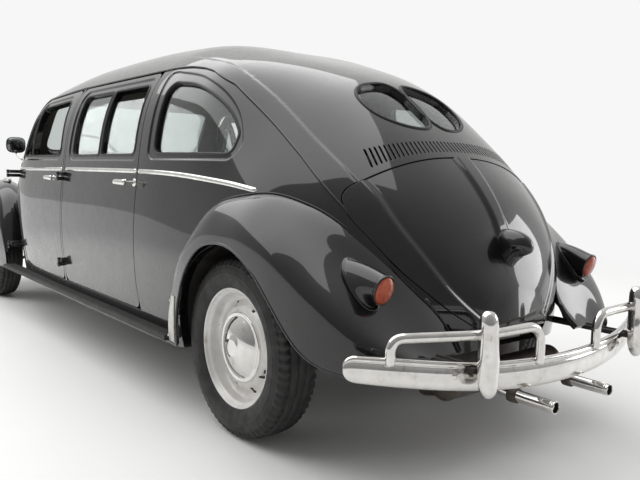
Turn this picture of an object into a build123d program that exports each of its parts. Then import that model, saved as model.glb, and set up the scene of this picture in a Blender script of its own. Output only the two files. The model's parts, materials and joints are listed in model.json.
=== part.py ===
from build123d import *
import math
import os

# A long wheelbase saloon: a rounded four-door body on a platform chassis with a rear engine.
# Frame: +X is the car's left, +Y its rear, +Z up, and the origin is on the ground, mid-length.
# Body stations and outlines are given from the rear axle, front ones from the front axle.

# Driving dimensions, in millimetres
FRONT_OVERHANG = 787.0
WHEELBASE = 3300.0
REAR_OVERHANG = 912.0
OVERRIDER_BEHIND = 884.0
FENDER_HALF_WIDTH = 770.0
BOARD_INSET = 6.0
WALL = 40.0
GLASS_INSET = 15.0
GLASS = 6.0
PANEL_GAP = 6.0
SEAT_GAP = 0.3
STATION_STEP = 140.0

TYRE_RADIUS = 316.0
TYRE_WIDTH = 160.0
RIM_RADIUS = 208.0
RIM_WIDTH = 132.0
REAR_TRACK = 1266.0
FRONT_TRACK = 1286.0
KINGPIN_X = 585.0
ARCH_ROOM = 50.0
WELL_ROOM = 25.0
STEER_ROOM = 245.0

LENGTH = FRONT_OVERHANG + WHEELBASE + REAR_OVERHANG
ARCH_RADIUS = TYRE_RADIUS + ARCH_ROOM
REAR_WELL_X = REAR_TRACK / 2 - TYRE_WIDTH / 2 - WELL_ROOM
FRONT_WELL_X = FRONT_TRACK / 2 - STEER_ROOM
REAR_AXLE_Y = LENGTH / 2 - REAR_OVERHANG
FRONT_AXLE_Y = REAR_AXLE_Y - WHEELBASE
AXLE_Z = TYRE_RADIUS

# The outlines below are given for the first wheelbase: another one stretches the body at one place
GIVEN_WHEELBASE = 3300.0
STRETCH_Y = -1200.0


def from_rear(y):
    """The place along the car of an outline's y, given from the rear axle."""
    stretch = WHEELBASE - GIVEN_WHEELBASE if y < STRETCH_Y else 0.0
    return REAR_AXLE_Y + y - stretch


def from_front(y):
    return FRONT_AXLE_Y + y


FRONT_DOOR_FRONT = -2610.0
PILLAR_Y = -1680.0
REAR_DOOR_REAR = -742.0
DOOR_BOTTOM = 334.0
HINGE_X = 758.0
HINGE_RADIUS = 9.0
HINGE_HALF = 24.0
LEAF_LENGTH = 40.0
PILLAR_LEAF = 18.0
HINGE_HEIGHTS = (430.0, 878.0)

PIN_RADIUS = 3.0
LUG = 4.0
LID_HINGE_Y = from_rear(388)
LID_TOP_Z = 987.0
LID_HINGE_Z = LID_TOP_Z + PIN_RADIUS + SEAT_GAP
COWL_FACE_Y = from_rear(-2760)
LUGGAGE_HINGE_Y = COWL_FACE_Y - PANEL_GAP / 2 + SEAT_GAP
LUGGAGE_HINGE_Z = 970.5

SIDES = (("left", 1), ("right", -1))

# Half sections of the cabin and tail, from the rear axle: bottom edge, widest point, belt,
# drip line, shoulder and top centre, each as (x, z)
BODY_STATIONS = {
    -2760: ((600, 300), (650, 600), (640, 880), (606, 938), (420, 972), (0, 985)),
    -2640: ((640, 240), (690, 600), (674, 890), (620, 985), (430, 1030), (0, 1048)),
    -2500: ((680, 225), (722, 610), (706, 905), (606, 1150), (430, 1218), (0, 1238)),
    -2400: ((690, 225), (732, 620), (715, 912), (594, 1272), (430, 1350), (0, 1372)),
    -2250: ((696, 225), (738, 630), (720, 918), (590, 1325), (430, 1412), (0, 1434)),
    -1700: ((702, 225), (742, 640), (724, 920), (592, 1345), (440, 1455), (0, 1489)),
    -1200: ((702, 225), (742, 640), (724, 920), (592, 1348), (440, 1460), (0, 1496)),
    -700: ((702, 225), (742, 640), (722, 918), (590, 1345), (435, 1446), (0, 1484)),
    -350: ((700, 235), (736, 640), (708, 905), (566, 1306), (410, 1374), (0, 1410)),
    0: ((684, 400), (712, 620), (666, 876), (545, 1066), (360, 1222), (0, 1290)),
    244: ((600, 400), (628, 580), (584, 800), (520, 905), (350, 1045), (0, 1116)),
    380: ((520, 380), (545, 540), (520, 735), (478, 815), (310, 940), (0, 1000)),
    500: ((425, 360), (448, 500), (424, 640), (382, 735), (240, 838), (0, 880)),
    600: ((300, 352), (318, 450), (300, 560), (266, 640), (150, 705), (0, 722)),
    655: ((120, 380), (150, 430), (142, 475), (120, 512), (60, 540), (0, 548)),
}
# Half sections of the nose ahead of the windscreen, from the front axle
NOSE_STATIONS = {
    -700: ((110, 360), (150, 420), (150, 470), (130, 510), (70, 535), (0, 542)),
    -650: ((210, 330), (235, 430), (230, 520), (205, 580), (110, 615), (0, 625)),
    -500: ((290, 300), (312, 440), (305, 580), (270, 660), (150, 702), (0, 714)),
    -250: ((350, 445), (372, 560), (366, 650), (330, 745), (190, 795), (0, 810)),
    0: ((410, 445), (430, 590), (424, 720), (388, 810), (230, 862), (0, 878)),
    300: ((500, 290), (520, 540), (512, 770), (474, 880), (290, 924), (0, 938)),
    534: ((585, 290), (628, 580), (622, 850), (590, 918), (400, 958), (0, 970)),
}
# Sections of a rear fender, from the rear axle: inner x and height, shoulder x and height,
# crest x and height, and the height of the lower edge
REAR_FENDER = {
    -402: (680, 372, 715, 376, 748, 330, 262),
    -340: (690, 585, 728, 585, 757, 470, 262),
    -222: (690, 718, 728, 710, 765, 590, 262),
    -64: (655, 832, 712, 822, 769, 690, 280),
    99: (600, 860, 690, 832, 770, 700, 300),
    253: (530, 824, 650, 788, 764, 668, 320),
    345: (490, 780, 612, 738, 752, 620, 330),
    426: (450, 712, 575, 668, 736, 566, 338),
    494: (400, 640, 548, 602, 714, 520, 343),
    576: (320, 520, 515, 505, 668, 450, 348),
    640: (300, 430, 480, 425, 600, 400, 352),
    690: (320, 385, 440, 384, 520, 376, 356),
}
# The same for a front fender, from the front axle
FRONT_FENDER = {
    560: (620, 390, 690, 400, 748, 340, 268),
    500: (560, 600, 690, 600, 757, 480, 268),
    400: (520, 700, 660, 735, 765, 600, 268),
    230: (470, 735, 620, 806, 769, 680, 290),
    30: (400, 715, 590, 822, 770, 700, 310),
    -170: (350, 665, 570, 815, 766, 700, 330),
    -350: (310, 600, 555, 795, 748, 680, 345),
    -480: (270, 540, 545, 762, 718, 640, 352),
    -580: (230, 490, 540, 712, 672, 590, 362),
    -650: (200, 455, 520, 640, 620, 530, 375),
    -690: (170, 430, 430, 540, 520, 460, 392),
}


def flat_values(station):
    """A station's numbers in one list, whether it is given as points or as plain numbers."""
    return [v for point in station for v in (point if isinstance(point, tuple) else (point,))]


def smooth_row(stations, y):
    """The station values at y, by a monotone cubic between the given stations."""
    ys = sorted(stations)
    flat = [flat_values(stations[key]) for key in ys]
    span = max(i for i in range(len(ys) - 1) if ys[i] <= y or i == 0)
    width = ys[span + 1] - ys[span]
    t = (y - ys[span]) / width
    row = []
    for k in range(len(flat[0])):
        values = [f[k] for f in flat]
        slopes = [(values[i + 1] - values[i]) / (ys[i + 1] - ys[i]) for i in range(len(ys) - 1)]

        def tangent(i):
            if i == 0:
                return slopes[0]
            if i == len(ys) - 1:
                return slopes[-1]
            before, after = slopes[i - 1], slopes[i]
            return 0.0 if before * after <= 0 else 2 * before * after / (before + after)

        h1 = 2 * t**3 - 3 * t**2 + 1
        h2 = t**3 - 2 * t**2 + t
        h3 = 3 * t**2 - 2 * t**3
        h4 = t**3 - t**2
        turn = h2 * tangent(span) + h4 * tangent(span + 1)
        row.append(h1 * values[span] + h3 * values[span + 1] + width * turn)
    return row


def stations_along(stations, step, trim=0.0):
    """Evenly spread places between the first and last stations, cut short by trim at each end."""
    first, last = min(stations) + trim, max(stations) - trim
    marks = [first] + [y for y in sorted(stations) if first + 30 < y < last - 30] + [last]
    places = []
    for a, b in zip(marks, marks[1:]):
        count = max(1, round((b - a) / step))
        places += [a + (b - a) * i / count for i in range(count)]
    return places + [last]


def inset_points(points, inset):
    """Moves a half section's points inwards, square to the line through their neighbours."""
    moved = []
    last = len(points) - 1
    for i, (x, z) in enumerate(points):
        x0, z0 = points[max(i - 1, 0)]
        x1, z1 = points[min(i + 1, last)]
        if i == last:
            moved.append((0.0, z - inset))
            continue
        if i == 0:
            moved.append((x - inset, z + inset))
            continue
        run = math.hypot(x1 - x0, z1 - z0)
        moved.append((x - inset * (z1 - z0) / run, z + inset * (x1 - x0) / run))
    return moved


def section_face(y, points):
    """A closed section in the plane at y, from its left half."""
    left = [Vector(x, y, z) for x, z in points]
    right = [Vector(-x, y, z) for x, z in reversed(points[:-1])]
    skin = Spline(*left, *right)
    return make_face([skin, Line(right[-1], left[0])])


def body_volume(stations, place, inset=0.0, trim=0.0):
    """The closed volume through the stations, moved inwards by inset and cut short by trim at each end."""
    sections = []
    for y in stations_along(stations, STATION_STEP, trim):
        flat = smooth_row(stations, y)
        points = list(zip(flat[0::2], flat[1::2]))
        sections.append(section_face(place(y), inset_points(points, inset) if inset else points))
    return loft(sections, ruled=True)


def grown(points, grow):
    """A closed outline with each side moved outwards by grow."""
    area = sum(a[0] * b[1] - b[0] * a[1] for a, b in zip(points, points[1:] + points[:1]))
    turn = 1 if area > 0 else -1
    lines = []
    for (x0, z0), (x1, z1) in zip(points, points[1:] + points[:1]):
        run = math.hypot(x1 - x0, z1 - z0)
        nx, nz = turn * (z1 - z0) / run, -turn * (x1 - x0) / run
        lines.append((nx, nz, nx * x0 + nz * z0 + grow))
    corners = []
    for (a, b, c), (d, e, f) in zip(lines[-1:] + lines[:-1], lines):
        det = a * e - b * d
        corners.append(((c * e - b * f) / det, (a * f - c * d) / det))
    return corners


def outline_face(points, radius, grow, place):
    """The face inside an outline, with round corners, each point put in space by place."""
    corners = [place(*p) for p in (grown(points, grow) if grow else points)]
    if radius:
        return make_face(FilletPolyline(*corners, radius=radius + grow, close=True))
    return make_face(Polyline(*corners, close=True))


def side_prism(points, x0, x1, radius=0.0, grow=0.0):
    """A prism across the car through an outline of (y, z) points."""
    face = outline_face(points, radius, grow, lambda y, z: (x0, y, z))
    return extrude(face, amount=x1 - x0, dir=(1, 0, 0))


def rear_prism(points, y0, y1, radius=0.0, grow=0.0):
    """A prism along the car through an outline of (x, z) points."""
    face = outline_face(points, radius, grow, lambda x, z: (x, y0, z))
    return extrude(face, amount=y1 - y0, dir=(0, 1, 0))


def block(x0, x1, y0, y1, z0, z1):
    return Pos((x0 + x1) / 2, (y0 + y1) / 2, (z0 + z1) / 2) * Box(x1 - x0, y1 - y0, z1 - z0)


def rod(start, end, radius):
    """A round bar from one point to another."""
    a, b = Vector(*start), Vector(*end)
    direction = b - a
    return extrude(Plane(origin=a, z_dir=direction) * Circle(radius), amount=direction.length)


def tube_along(points, radius, bend):
    """A bent round bar through the points."""
    path = FilletPolyline(*points, radius=bend)
    profile = Plane(origin=path @ 0, z_dir=path % 0) * Circle(radius)
    return sweep(profile, path=path)


def mirrored(shape):
    return mirror(shape, about=Plane.YZ)


CRUMB = 50.0


def write(name, shape):
    """Writes the solids of a piece to its file."""
    solids = [s for s in shape.solids() if s.volume > CRUMB]
    export_step(Compound(children=solids) if len(solids) > 1 else solids[0], f"parts/{name}.step")
    print(name, len(solids), round(sum(s.volume for s in solids)))


os.makedirs("parts", exist_ok=True)

# Body volumes
BODY_OUTER = body_volume(BODY_STATIONS, from_rear)
BODY_INSIDE = body_volume(BODY_STATIONS, from_rear, WALL, WALL)
BODY_SHELL = BODY_OUTER - BODY_INSIDE
GLASS_SHELL = body_volume(BODY_STATIONS, from_rear, GLASS_INSET, GLASS_INSET) - body_volume(
    BODY_STATIONS, from_rear, GLASS_INSET + GLASS, GLASS_INSET + GLASS
)
NOSE_OUTER = body_volume(NOSE_STATIONS, from_front)
NOSE_SHELL = NOSE_OUTER - body_volume(NOSE_STATIONS, from_front, WALL / 2, WALL / 2)

# Outlines seen from the side, from the rear axle, moved to the frame
def placed(points):
    return [(from_rear(y), z) for y, z in points]


FAR = 900.0
FRONT_DOOR = placed(
    [
        (FRONT_DOOR_FRONT, 400), (FRONT_DOOR_FRONT + 60, DOOR_BOTTOM), (PILLAR_Y, DOOR_BOTTOM),
        (PILLAR_Y, 1332), (-2250, 1312), (-2385, 1238), (FRONT_DOOR_FRONT, 905),
    ]
)
REAR_DOOR = placed(
    [
        (PILLAR_Y + 30, DOOR_BOTTOM), (REAR_DOOR_REAR + 20, DOOR_BOTTOM), (REAR_DOOR_REAR, 420),
        (REAR_DOOR_REAR, 1333), (PILLAR_Y + 30, 1333),
    ]
)
FRONT_DOOR_WINDOW = placed([(-2480, 985), (-1748, 985), (-1790, 1288), (-2225, 1272), (-2330, 1195)])
REAR_DOOR_WINDOW = placed([(-1565, 985), (-800, 985), (-800, 1290), (-1565, 1290)])
QUARTER_WINDOW = placed(
    [(-620, 988), (-110, 988), (-110, 1070), (-175, 1145), (-290, 1220), (-430, 1268), (-620, 1288)]
)
WINDOW_BARS = {"front": (from_rear(-2262), 9.0), "rear": (from_rear(-1192), 13.0)}
LOWERED = 52.0
WINDOW_TOP = 1290.0
WINDSCREEN = [(-545, 1032), (545, 1032), (520, 1335), (-520, 1335)]
REAR_PANE = [
    (24, 1106), (24, 1264), (110, 1272), (190, 1252), (240, 1210), (240, 1160), (180, 1112), (90, 1094),
]

DRIP_LINE = placed(
    [
        (-2330, 1336), (-1700, 1346), (-640, 1344), (-440, 1328), (-228, 1246), (0, 1084),
        (140, 982), (269, 880), (358, 807),
    ]
)
ROOF_REAR_Y = -330.0
ROOF_FRONT_Y = -2330.0
ENGINE_LID_HALF = [
    (250, 456), (330, 550), (440, 672), (500, 790), (490, 862), (364, 932), (247, 966), (104, LID_TOP_Z),
]
ENGINE_LID = ENGINE_LID_HALF + [(-x, z) for x, z in reversed(ENGINE_LID_HALF)]
LUGGAGE_LID = [
    (from_front(y), z)
    for y, z in [
        (-760, 470), (-650, 520), (-500, 600), (-250, 680), (0, 765), (300, 850), (534, 897),
        (534, 1100), (-760, 1100),
    ]
]
APRON = [(-290, 250), (290, 250), (290, 452), (-290, 452)]


def both(shape):
    return shape + mirrored(shape)


def fender_volume(stations, place):
    """The closed volume of a left fender through its sections."""
    sections = []
    for y in stations_along(stations, STATION_STEP / 2):
        x_in, z_in, x_top, z_top, x_out, z_out, z_low = smooth_row(stations, y)
        at = place(y)
        crest = [(x_in, at, z_in), (x_top, at, z_top), (x_out, at, z_out)]
        brow = Spline(*crest, tangents=[(1, 0, 0.1), (0, 0, -1)])
        flank = Spline((x_out, at, z_out), (x_out - 8, at, z_low), tangents=[(0, 0, -1), (-0.1, 0, -1)])
        under = Polyline((x_out - 8, at, z_low), (x_in, at, z_low), (x_in, at, z_in))
        sections.append(make_face([brow, flank, under]))
    return loft(sections, ruled=True)


def well_volume(centre_y, inner_x, grow=0.0, flare=False):
    """The space that a left wheel turns in: an arch open below and outwards."""
    radius = ARCH_RADIUS + grow
    x0 = inner_x - grow
    arch = rod((x0, centre_y, AXLE_Z), (FAR, centre_y, AXLE_Z), radius)
    below = block(x0, FAR, centre_y - radius, centre_y + radius, 100, AXLE_Z)
    if not flare:
        return arch + below
    outline = [(290, 540), (373, 447), (433, 394), (514, 360), (640, 340), (640, 100), (290, 100)]
    tail = side_prism([(centre_y + y, z) for y, z in outline], x0, FAR)
    return arch + below + tail


HOUSE_WALL = 10.0
REAR_WELL = well_volume(REAR_AXLE_Y, REAR_WELL_X)
FRONT_WELL = well_volume(FRONT_AXLE_Y, FRONT_WELL_X)


def wheelhouse(centre_y, inner_x, volume, well):
    """The wall between a wheel's well and the inside of the body."""
    return (well_volume(centre_y, inner_x, HOUSE_WALL) - well) & volume


# Doors: the opening is the door's outline grown by the panel gap
DOORS = {
    "front": (FRONT_DOOR, FRONT_DOOR_WINDOW, FRONT_DOOR_FRONT),
    "rear": (REAR_DOOR, REAR_DOOR_WINDOW, PILLAR_Y + 30),
}


def door_opening(outline):
    return side_prism(outline, 300, FAR, 40, PANEL_GAP)


OPENINGS = both(door_opening(FRONT_DOOR)) + both(door_opening(REAR_DOOR))


def hinge_leaf(y, z, side):
    """Half of an outside hinge: the door's upper half (side 1) or the pillar's lower half (side -1)."""
    z0, z1 = sorted((z + side * SEAT_GAP / 2, z + side * HINGE_HALF))
    barrel = rod((HINGE_X, y, z0), (HINGE_X, y, z1), HINGE_RADIUS)
    length = LEAF_LENGTH if side > 0 else PILLAR_LEAF
    y0, y1 = sorted((y + side * PANEL_GAP / 2, y + side * length))
    tongue = block(HINGE_X - HINGE_RADIUS, HINGE_X, min(y, y1), max(y, y1), z0, z1)
    return barrel + tongue + block(HINGE_X - 90, HINGE_X, y0, y1, z0, z1)


def make_door(row):
    """A left door: its pressing with the window cut, hinge leaves, and a handle."""
    outline, window, front = DOORS[row]
    bar_y, bar_half = WINDOW_BARS[row]
    bar = block(300, FAR, bar_y - bar_half, bar_y + bar_half, 900, 1400)
    door = (BODY_SHELL & side_prism(outline, 300, FAR, 40)) - (side_prism(window, 300, FAR, 35) - bar)
    y = from_rear(front) - PANEL_GAP / 2
    for z in HINGE_HEIGHTS:
        door += hinge_leaf(y, z, 1)
    rear = max(p[0] for p in outline)
    for back in (135, 40):
        door += rod((700, rear - back, 868), (775, rear - back, 868), 10)
    door += block(766, 784, rear - 150, rear - 25, 858, 878)
    return door


def make_door_glass(row):
    """The vent pane of a front door, whose main pane is wound down, or the two panes of a rear door."""
    bar_y, bar_half = WINDOW_BARS[row]
    glass = GLASS_SHELL & side_prism(DOORS[row][1], 300, FAR, 35, -SEAT_GAP)
    ahead = glass & block(300, FAR, from_rear(-2800), bar_y - bar_half - SEAT_GAP, 900, 1400)
    if row == "front":
        return ahead
    behind = block(300, FAR, bar_y + bar_half + SEAT_GAP, FAR + from_rear(0), 900, WINDOW_TOP - LOWERED)
    return ahead + (glass & behind)


LID_OPENING = rear_prism(ENGINE_LID, from_rear(250), from_rear(720), 20, PANEL_GAP)
LID_SOLID = rear_prism(ENGINE_LID, from_rear(250), from_rear(720), 20)
APRON_SOLID = rear_prism(APRON, from_rear(430), from_rear(720))
COWL_OUTLINE = placed(
    [(-2800, 150), (-2612, 150), (-2612, 905), (-2385, 1242), (-2330, 1336), (-2330, 1600), (-2800, 1600)]
)
COWL_REGION = side_prism(COWL_OUTLINE, -FAR, FAR)
SEAM = (from_rear(ROOF_REAR_Y), 1296)
drip_front = [p for p in DRIP_LINE if p[0] < SEAM[0]]
drip_rear = [p for p in DRIP_LINE if p[0] > SEAM[0]]
ROOF_REGION = side_prism(drip_front + [SEAM, (SEAM[0], 1600), (from_rear(ROOF_FRONT_Y), 1600)], -FAR, FAR)
TAIL_CORNERS = [(from_rear(700), 807), (from_rear(700), 1600), (SEAM[0], 1600)]
REAR_REGION = side_prism([SEAM] + drip_rear + TAIL_CORNERS, -FAR, FAR)
SILL_TOP = 232 + WALL
FLOOR_REGION = block(-640, 640, from_rear(-2800), from_rear(700), 100, SILL_TOP)
FLOOR_REGION += block(-515, 515, from_rear(-360), from_rear(430), 100, 448)
TUNNEL_X = 125.0
TUNNEL_TOP = 405.0
ENGINE_SPACE = block(-290, 290, from_rear(215), from_rear(560), 100, 460)

SHELL = BODY_SHELL - OPENINGS - LID_OPENING
SHELL = SHELL - both(REAR_WELL) - ENGINE_SPACE
QUARTER_CUT = side_prism(QUARTER_WINDOW, 300, FAR, 30)
SCREEN_CUT = rear_prism(WINDSCREEN, from_rear(-2800), from_rear(-2300), 60)
PANE_CUT = both(rear_prism(REAR_PANE, from_rear(-150), from_rear(400), 18))


def pillar_leaves(row):
    """The two lower hinge halves that a left door hangs on."""
    y = from_rear(DOORS[row][2]) - PANEL_GAP / 2
    return hinge_leaf(y, HINGE_HEIGHTS[0], -1) + hinge_leaf(y, HINGE_HEIGHTS[1], -1)


# Hinge pins of the lids: the left one of each pair
LID_PIN_X = (50.0, 90.0)
LUGGAGE_PIN_X = (70.0, 120.0)
LUG_LENGTH = 14.0
LID_PIN = rod(*[(x, LID_HINGE_Y, LID_HINGE_Z) for x in LID_PIN_X], PIN_RADIUS)
LUG_TOP = LID_HINGE_Z + PIN_RADIUS + LUG
LID_PIN += block(*LID_PIN_X, LID_HINGE_Y - LUG_LENGTH, LID_HINGE_Y + PIN_RADIUS, LID_HINGE_Z + 1, LUG_TOP)
LUGGAGE_PIN = rod(*[(x, LUGGAGE_HINGE_Y, LUGGAGE_HINGE_Z) for x in LUGGAGE_PIN_X], PIN_RADIUS)

# Body pieces
FOOT_WELL = block(-640, 640, from_rear(-2700), from_rear(-2500), 100, SILL_TOP)
cowl = (SHELL & COWL_REGION) - SCREEN_CUT - FOOT_WELL
cowl += both(pillar_leaves("front")) + both(LUGGAGE_PIN)
write("cowl_panel", cowl)
write("roof_panel", SHELL & ROOF_REGION)
write("rear_panel", (SHELL & REAR_REGION) - PANE_CUT + both(LID_PIN))
write("rear_apron", SHELL & APRON_SOLID)
floor = (SHELL & FLOOR_REGION) - COWL_REGION - APRON_SOLID
floor += BODY_INSIDE & block(-500, 500, from_rear(180), from_rear(196), 405, 900)
tunnel = block(-TUNNEL_X, TUNNEL_X, from_rear(-290), from_rear(240), 100, TUNNEL_TOP)
tunnel += block(-TUNNEL_X - 14, TUNNEL_X + 14, from_rear(-60), from_rear(240), 100, 396)
floor += block(-TUNNEL_X - 12, TUNNEL_X + 12, from_rear(-302), from_rear(196), 240, TUNNEL_TOP + 12)
write("floor_pan", floor - tunnel)
side = SHELL - COWL_REGION - ROOF_REGION - REAR_REGION - FLOOR_REGION - APRON_SOLID - QUARTER_CUT
side = side & block(0, FAR, from_rear(-2800), from_rear(700), 100, 1600)
side = side + pillar_leaves("rear")
side = side + (wheelhouse(REAR_AXLE_Y, REAR_WELL_X, BODY_OUTER, REAR_WELL) - FLOOR_REGION)
for name, sign in SIDES:
    write(f"{name}_body_side", side if sign > 0 else mirrored(side))

for row in DOORS:
    door = make_door(row)
    glass = make_door_glass(row)
    for name, sign in SIDES:
        write(f"{row}_{name}_door", door if sign > 0 else mirrored(door))
        write(f"{row}_{name}_door_glass", glass if sign > 0 else mirrored(glass))

write("engine_lid", BODY_SHELL & LID_SOLID)
write("windscreen", GLASS_SHELL & rear_prism(WINDSCREEN, from_rear(-2800), from_rear(-2300), 60, -SEAT_GAP))
rear_pane = rear_prism(REAR_PANE, from_rear(-150), from_rear(400), 18, -SEAT_GAP)
write("rear_window_panes", GLASS_SHELL & both(rear_pane))
write("quarter_windows", both(GLASS_SHELL & side_prism(QUARTER_WINDOW, 300, FAR, 30, -SEAT_GAP)))

# Nose
LUGGAGE_SOLID = side_prism(LUGGAGE_LID, -FAR, FAR)
LUGGAGE_OPENING = side_prism(LUGGAGE_LID, -FAR, FAR, 0, PANEL_GAP)
write("luggage_lid", NOSE_SHELL & LUGGAGE_SOLID)
tray = NOSE_SHELL - LUGGAGE_OPENING - both(FRONT_WELL)
tray = tray + both(wheelhouse(FRONT_AXLE_Y, FRONT_WELL_X, NOSE_OUTER, FRONT_WELL) - LUGGAGE_OPENING)
write("front_tray", tray)

# Fenders and running boards
rear_fender = fender_volume(REAR_FENDER, from_rear) - BODY_OUTER - well_volume(REAR_AXLE_Y, 300, 0, True)
front_fender = fender_volume(FRONT_FENDER, from_front) - BODY_OUTER - NOSE_OUTER
front_fender = front_fender - well_volume(FRONT_AXLE_Y, 300)
for name, sign in SIDES:
    write(f"rear_{name}_fender", rear_fender if sign > 0 else mirrored(rear_fender))
    write(f"front_{name}_fender", front_fender if sign > 0 else mirrored(front_fender))


# Running boards: a step along each side, from the front fender to the rear one
BOARD_TOP = 292.0
BOARD_THICKNESS = 26.0
BOARD_INNER_X = 690.0
BOARD_OUTER_X = FENDER_HALF_WIDTH - BOARD_INSET
BOARD_FRONT = from_front(560) + SEAT_GAP
BOARD_REAR = from_rear(-402) - SEAT_GAP


def make_board():
    low = BOARD_TOP - BOARD_THICKNESS
    return block(BOARD_INNER_X, BOARD_OUTER_X, BOARD_FRONT, BOARD_REAR, low, BOARD_TOP) - BODY_OUTER


write("running_boards", both(make_board()))

# Wheels: each tyre and rim turn together about the axle
HUB_FACE = 12.0
FLANGE = 17.0
CAP_RADIUS = 118.0


def make_rim(x, y):
    """A left wheel's steel rim: a well-based barrel, a dished disc and a domed cap."""
    half = RIM_WIDTH / 2
    seat = RIM_RADIUS - FLANGE
    bend = RIM_RADIUS - 58
    outside = [
        (RIM_RADIUS, half), (RIM_RADIUS - 3, half - 7), (seat, half - 9), (seat, half - 32),
        (seat - 20, half - 42), (seat - 20, 48 - half), (seat, 38 - half), (seat, 9 - half),
        (RIM_RADIUS - 3, 7 - half), (RIM_RADIUS, -half),
    ]
    inside = [
        (RIM_RADIUS - 8, 0 - half), (seat - 4, 5 - half), (seat - 4, 40 - half), (seat - 24, 50 - half),
        (seat - 24, half - 44), (seat - 4, half - 34), (seat - 4, half - 5), (RIM_RADIUS - 8, half),
    ]
    profile = outside + inside
    barrel = revolve(make_face(Polyline(*[(r, 0, w) for r, w in profile], close=True)), Axis.Z)
    disc = [
        (0, 26), (70, 26), (112, 44), (bend, 30), (seat - 23, 10), (seat - 23, 4),
        (bend, 24), (112, 38), (70, HUB_FACE), (0, HUB_FACE),
    ]
    disc = revolve(make_face(Polyline(*[(r, 0, w) for r, w in disc], close=True)), Axis.Z)
    cap = Pos(0, 0, 40) * Cylinder(CAP_RADIUS, 4) + Pos(0, 0, 20) * Sphere(CAP_RADIUS)
    cap = cap - Pos(0, 0, -96) * Box(400, 400, 268)
    cap = cap & (Pos(0, 0, 55) * Cylinder(CAP_RADIUS, 34))
    wheel = barrel + disc + cap
    return Pos(x, y, AXLE_Z) * Rot(0, 90, 0) * wheel


def make_tyre(x, y):
    """A left tyre: a rounded carcass seated on the rim's beads."""
    half = TYRE_WIDTH / 2
    bead = RIM_RADIUS - FLANGE + SEAT_GAP
    toe = RIM_WIDTH / 2 - 10
    shoulder = TYRE_RADIUS - 10
    shoulder_half = half - 22
    side_height = TYRE_RADIUS - RIM_RADIUS
    low_bulge = RIM_RADIUS + side_height * 34 / 108
    high_bulge = TYRE_RADIUS - side_height * 46 / 108
    walls = []
    for side in (-1, 1):
        rim_edge = (RIM_RADIUS + 3, 0, side * (toe + 1))
        bulge = [(low_bulge, 0, side * half), (high_bulge, 0, side * half)]
        wall = Spline(rim_edge, *bulge, (shoulder, 0, side * shoulder_half))
        walls += [Line((bead, 0, side * toe), rim_edge), wall]
    crown = [(TYRE_RADIUS - 2, 0, 36 - half), (TYRE_RADIUS, 0, 0), (TYRE_RADIUS - 2, 0, half - 36)]
    tread = Spline((shoulder, 0, -shoulder_half), *crown, (shoulder, 0, shoulder_half))
    outline = make_face(walls + [tread, Line((bead, 0, -toe), (bead, 0, toe))])
    return Pos(x, y, AXLE_Z) * Rot(0, 90, 0) * revolve(outline, Axis.Z)


for axle, track, y in (("front", FRONT_TRACK, FRONT_AXLE_Y), ("rear", REAR_TRACK, REAR_AXLE_Y)):
    rim = make_rim(track / 2, y)
    tyre = make_tyre(track / 2, y)
    for name, sign in SIDES:
        write(f"{axle}_{name}_rim", rim if sign > 0 else mirrored(rim))
        write(f"{axle}_{name}_tyre", tyre if sign > 0 else mirrored(tyre))

# Front axle: two torsion tubes, with trailing arms to the steering knuckles
KNUCKLE_HALF = 84.0
POST_RADIUS = 20.0
PLATE = 14.0
BRAKE_ROOM = 88.0
BRAKE_RADIUS = RIM_RADIUS - BRAKE_ROOM
EYE_DROP = 108.0
EYE_HALF = 15.0
ARM_RADIUS = 10.0
BEAM_Y = FRONT_AXLE_Y - 150
TRAY_FLOOR_Z = 445.0
STUB_END = FRONT_TRACK / 2 + HUB_FACE - SEAT_GAP


def make_front_axle():
    beam = rod((-420, BEAM_Y, AXLE_Z + 62), (420, BEAM_Y, AXLE_Z + 62), 32)
    beam += rod((-420, BEAM_Y, AXLE_Z - 62), (420, BEAM_Y, AXLE_Z - 62), 32)
    for x in (-285, 285):
        beam += block(x - 15, x + 15, BEAM_Y - 14, BEAM_Y + 14, AXLE_Z - 90, TRAY_FLOOR_Z - SEAT_GAP)
    for sign in (1, -1):
        for z, away in ((AXLE_Z + 62, 1), (AXLE_Z - 62, -1)):
            end = (sign * KINGPIN_X, FRONT_AXLE_Y, AXLE_Z + away * EYE_DROP)
            beam += rod((sign * 410, BEAM_Y, z), end, ARM_RADIUS)
            beam += Pos(*end) * Cylinder(POST_RADIUS, 2 * EYE_HALF)
    return beam


def make_knuckle():
    """The left knuckle: a kingpin post with the stub axle that carries the wheel."""
    pin_half = EYE_DROP - EYE_HALF - SEAT_GAP
    knuckle = Pos(KINGPIN_X, FRONT_AXLE_Y, AXLE_Z) * Cylinder(POST_RADIUS, 2 * KNUCKLE_HALF)
    knuckle += Pos(KINGPIN_X, FRONT_AXLE_Y, AXLE_Z) * Cylinder(9, 2 * pin_half)
    knuckle += rod((KINGPIN_X, FRONT_AXLE_Y, AXLE_Z), (STUB_END, FRONT_AXLE_Y, AXLE_Z), 18)
    plate_x = KINGPIN_X + POST_RADIUS + PANEL_GAP
    knuckle += rod((plate_x, FRONT_AXLE_Y, AXLE_Z), (plate_x + PLATE, FRONT_AXLE_Y, AXLE_Z), BRAKE_RADIUS)
    return knuckle


write("front_axle", make_front_axle())
knuckle = make_knuckle()
for name, sign in SIDES:
    write(f"{name}_knuckle", knuckle if sign > 0 else mirrored(knuckle))

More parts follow.
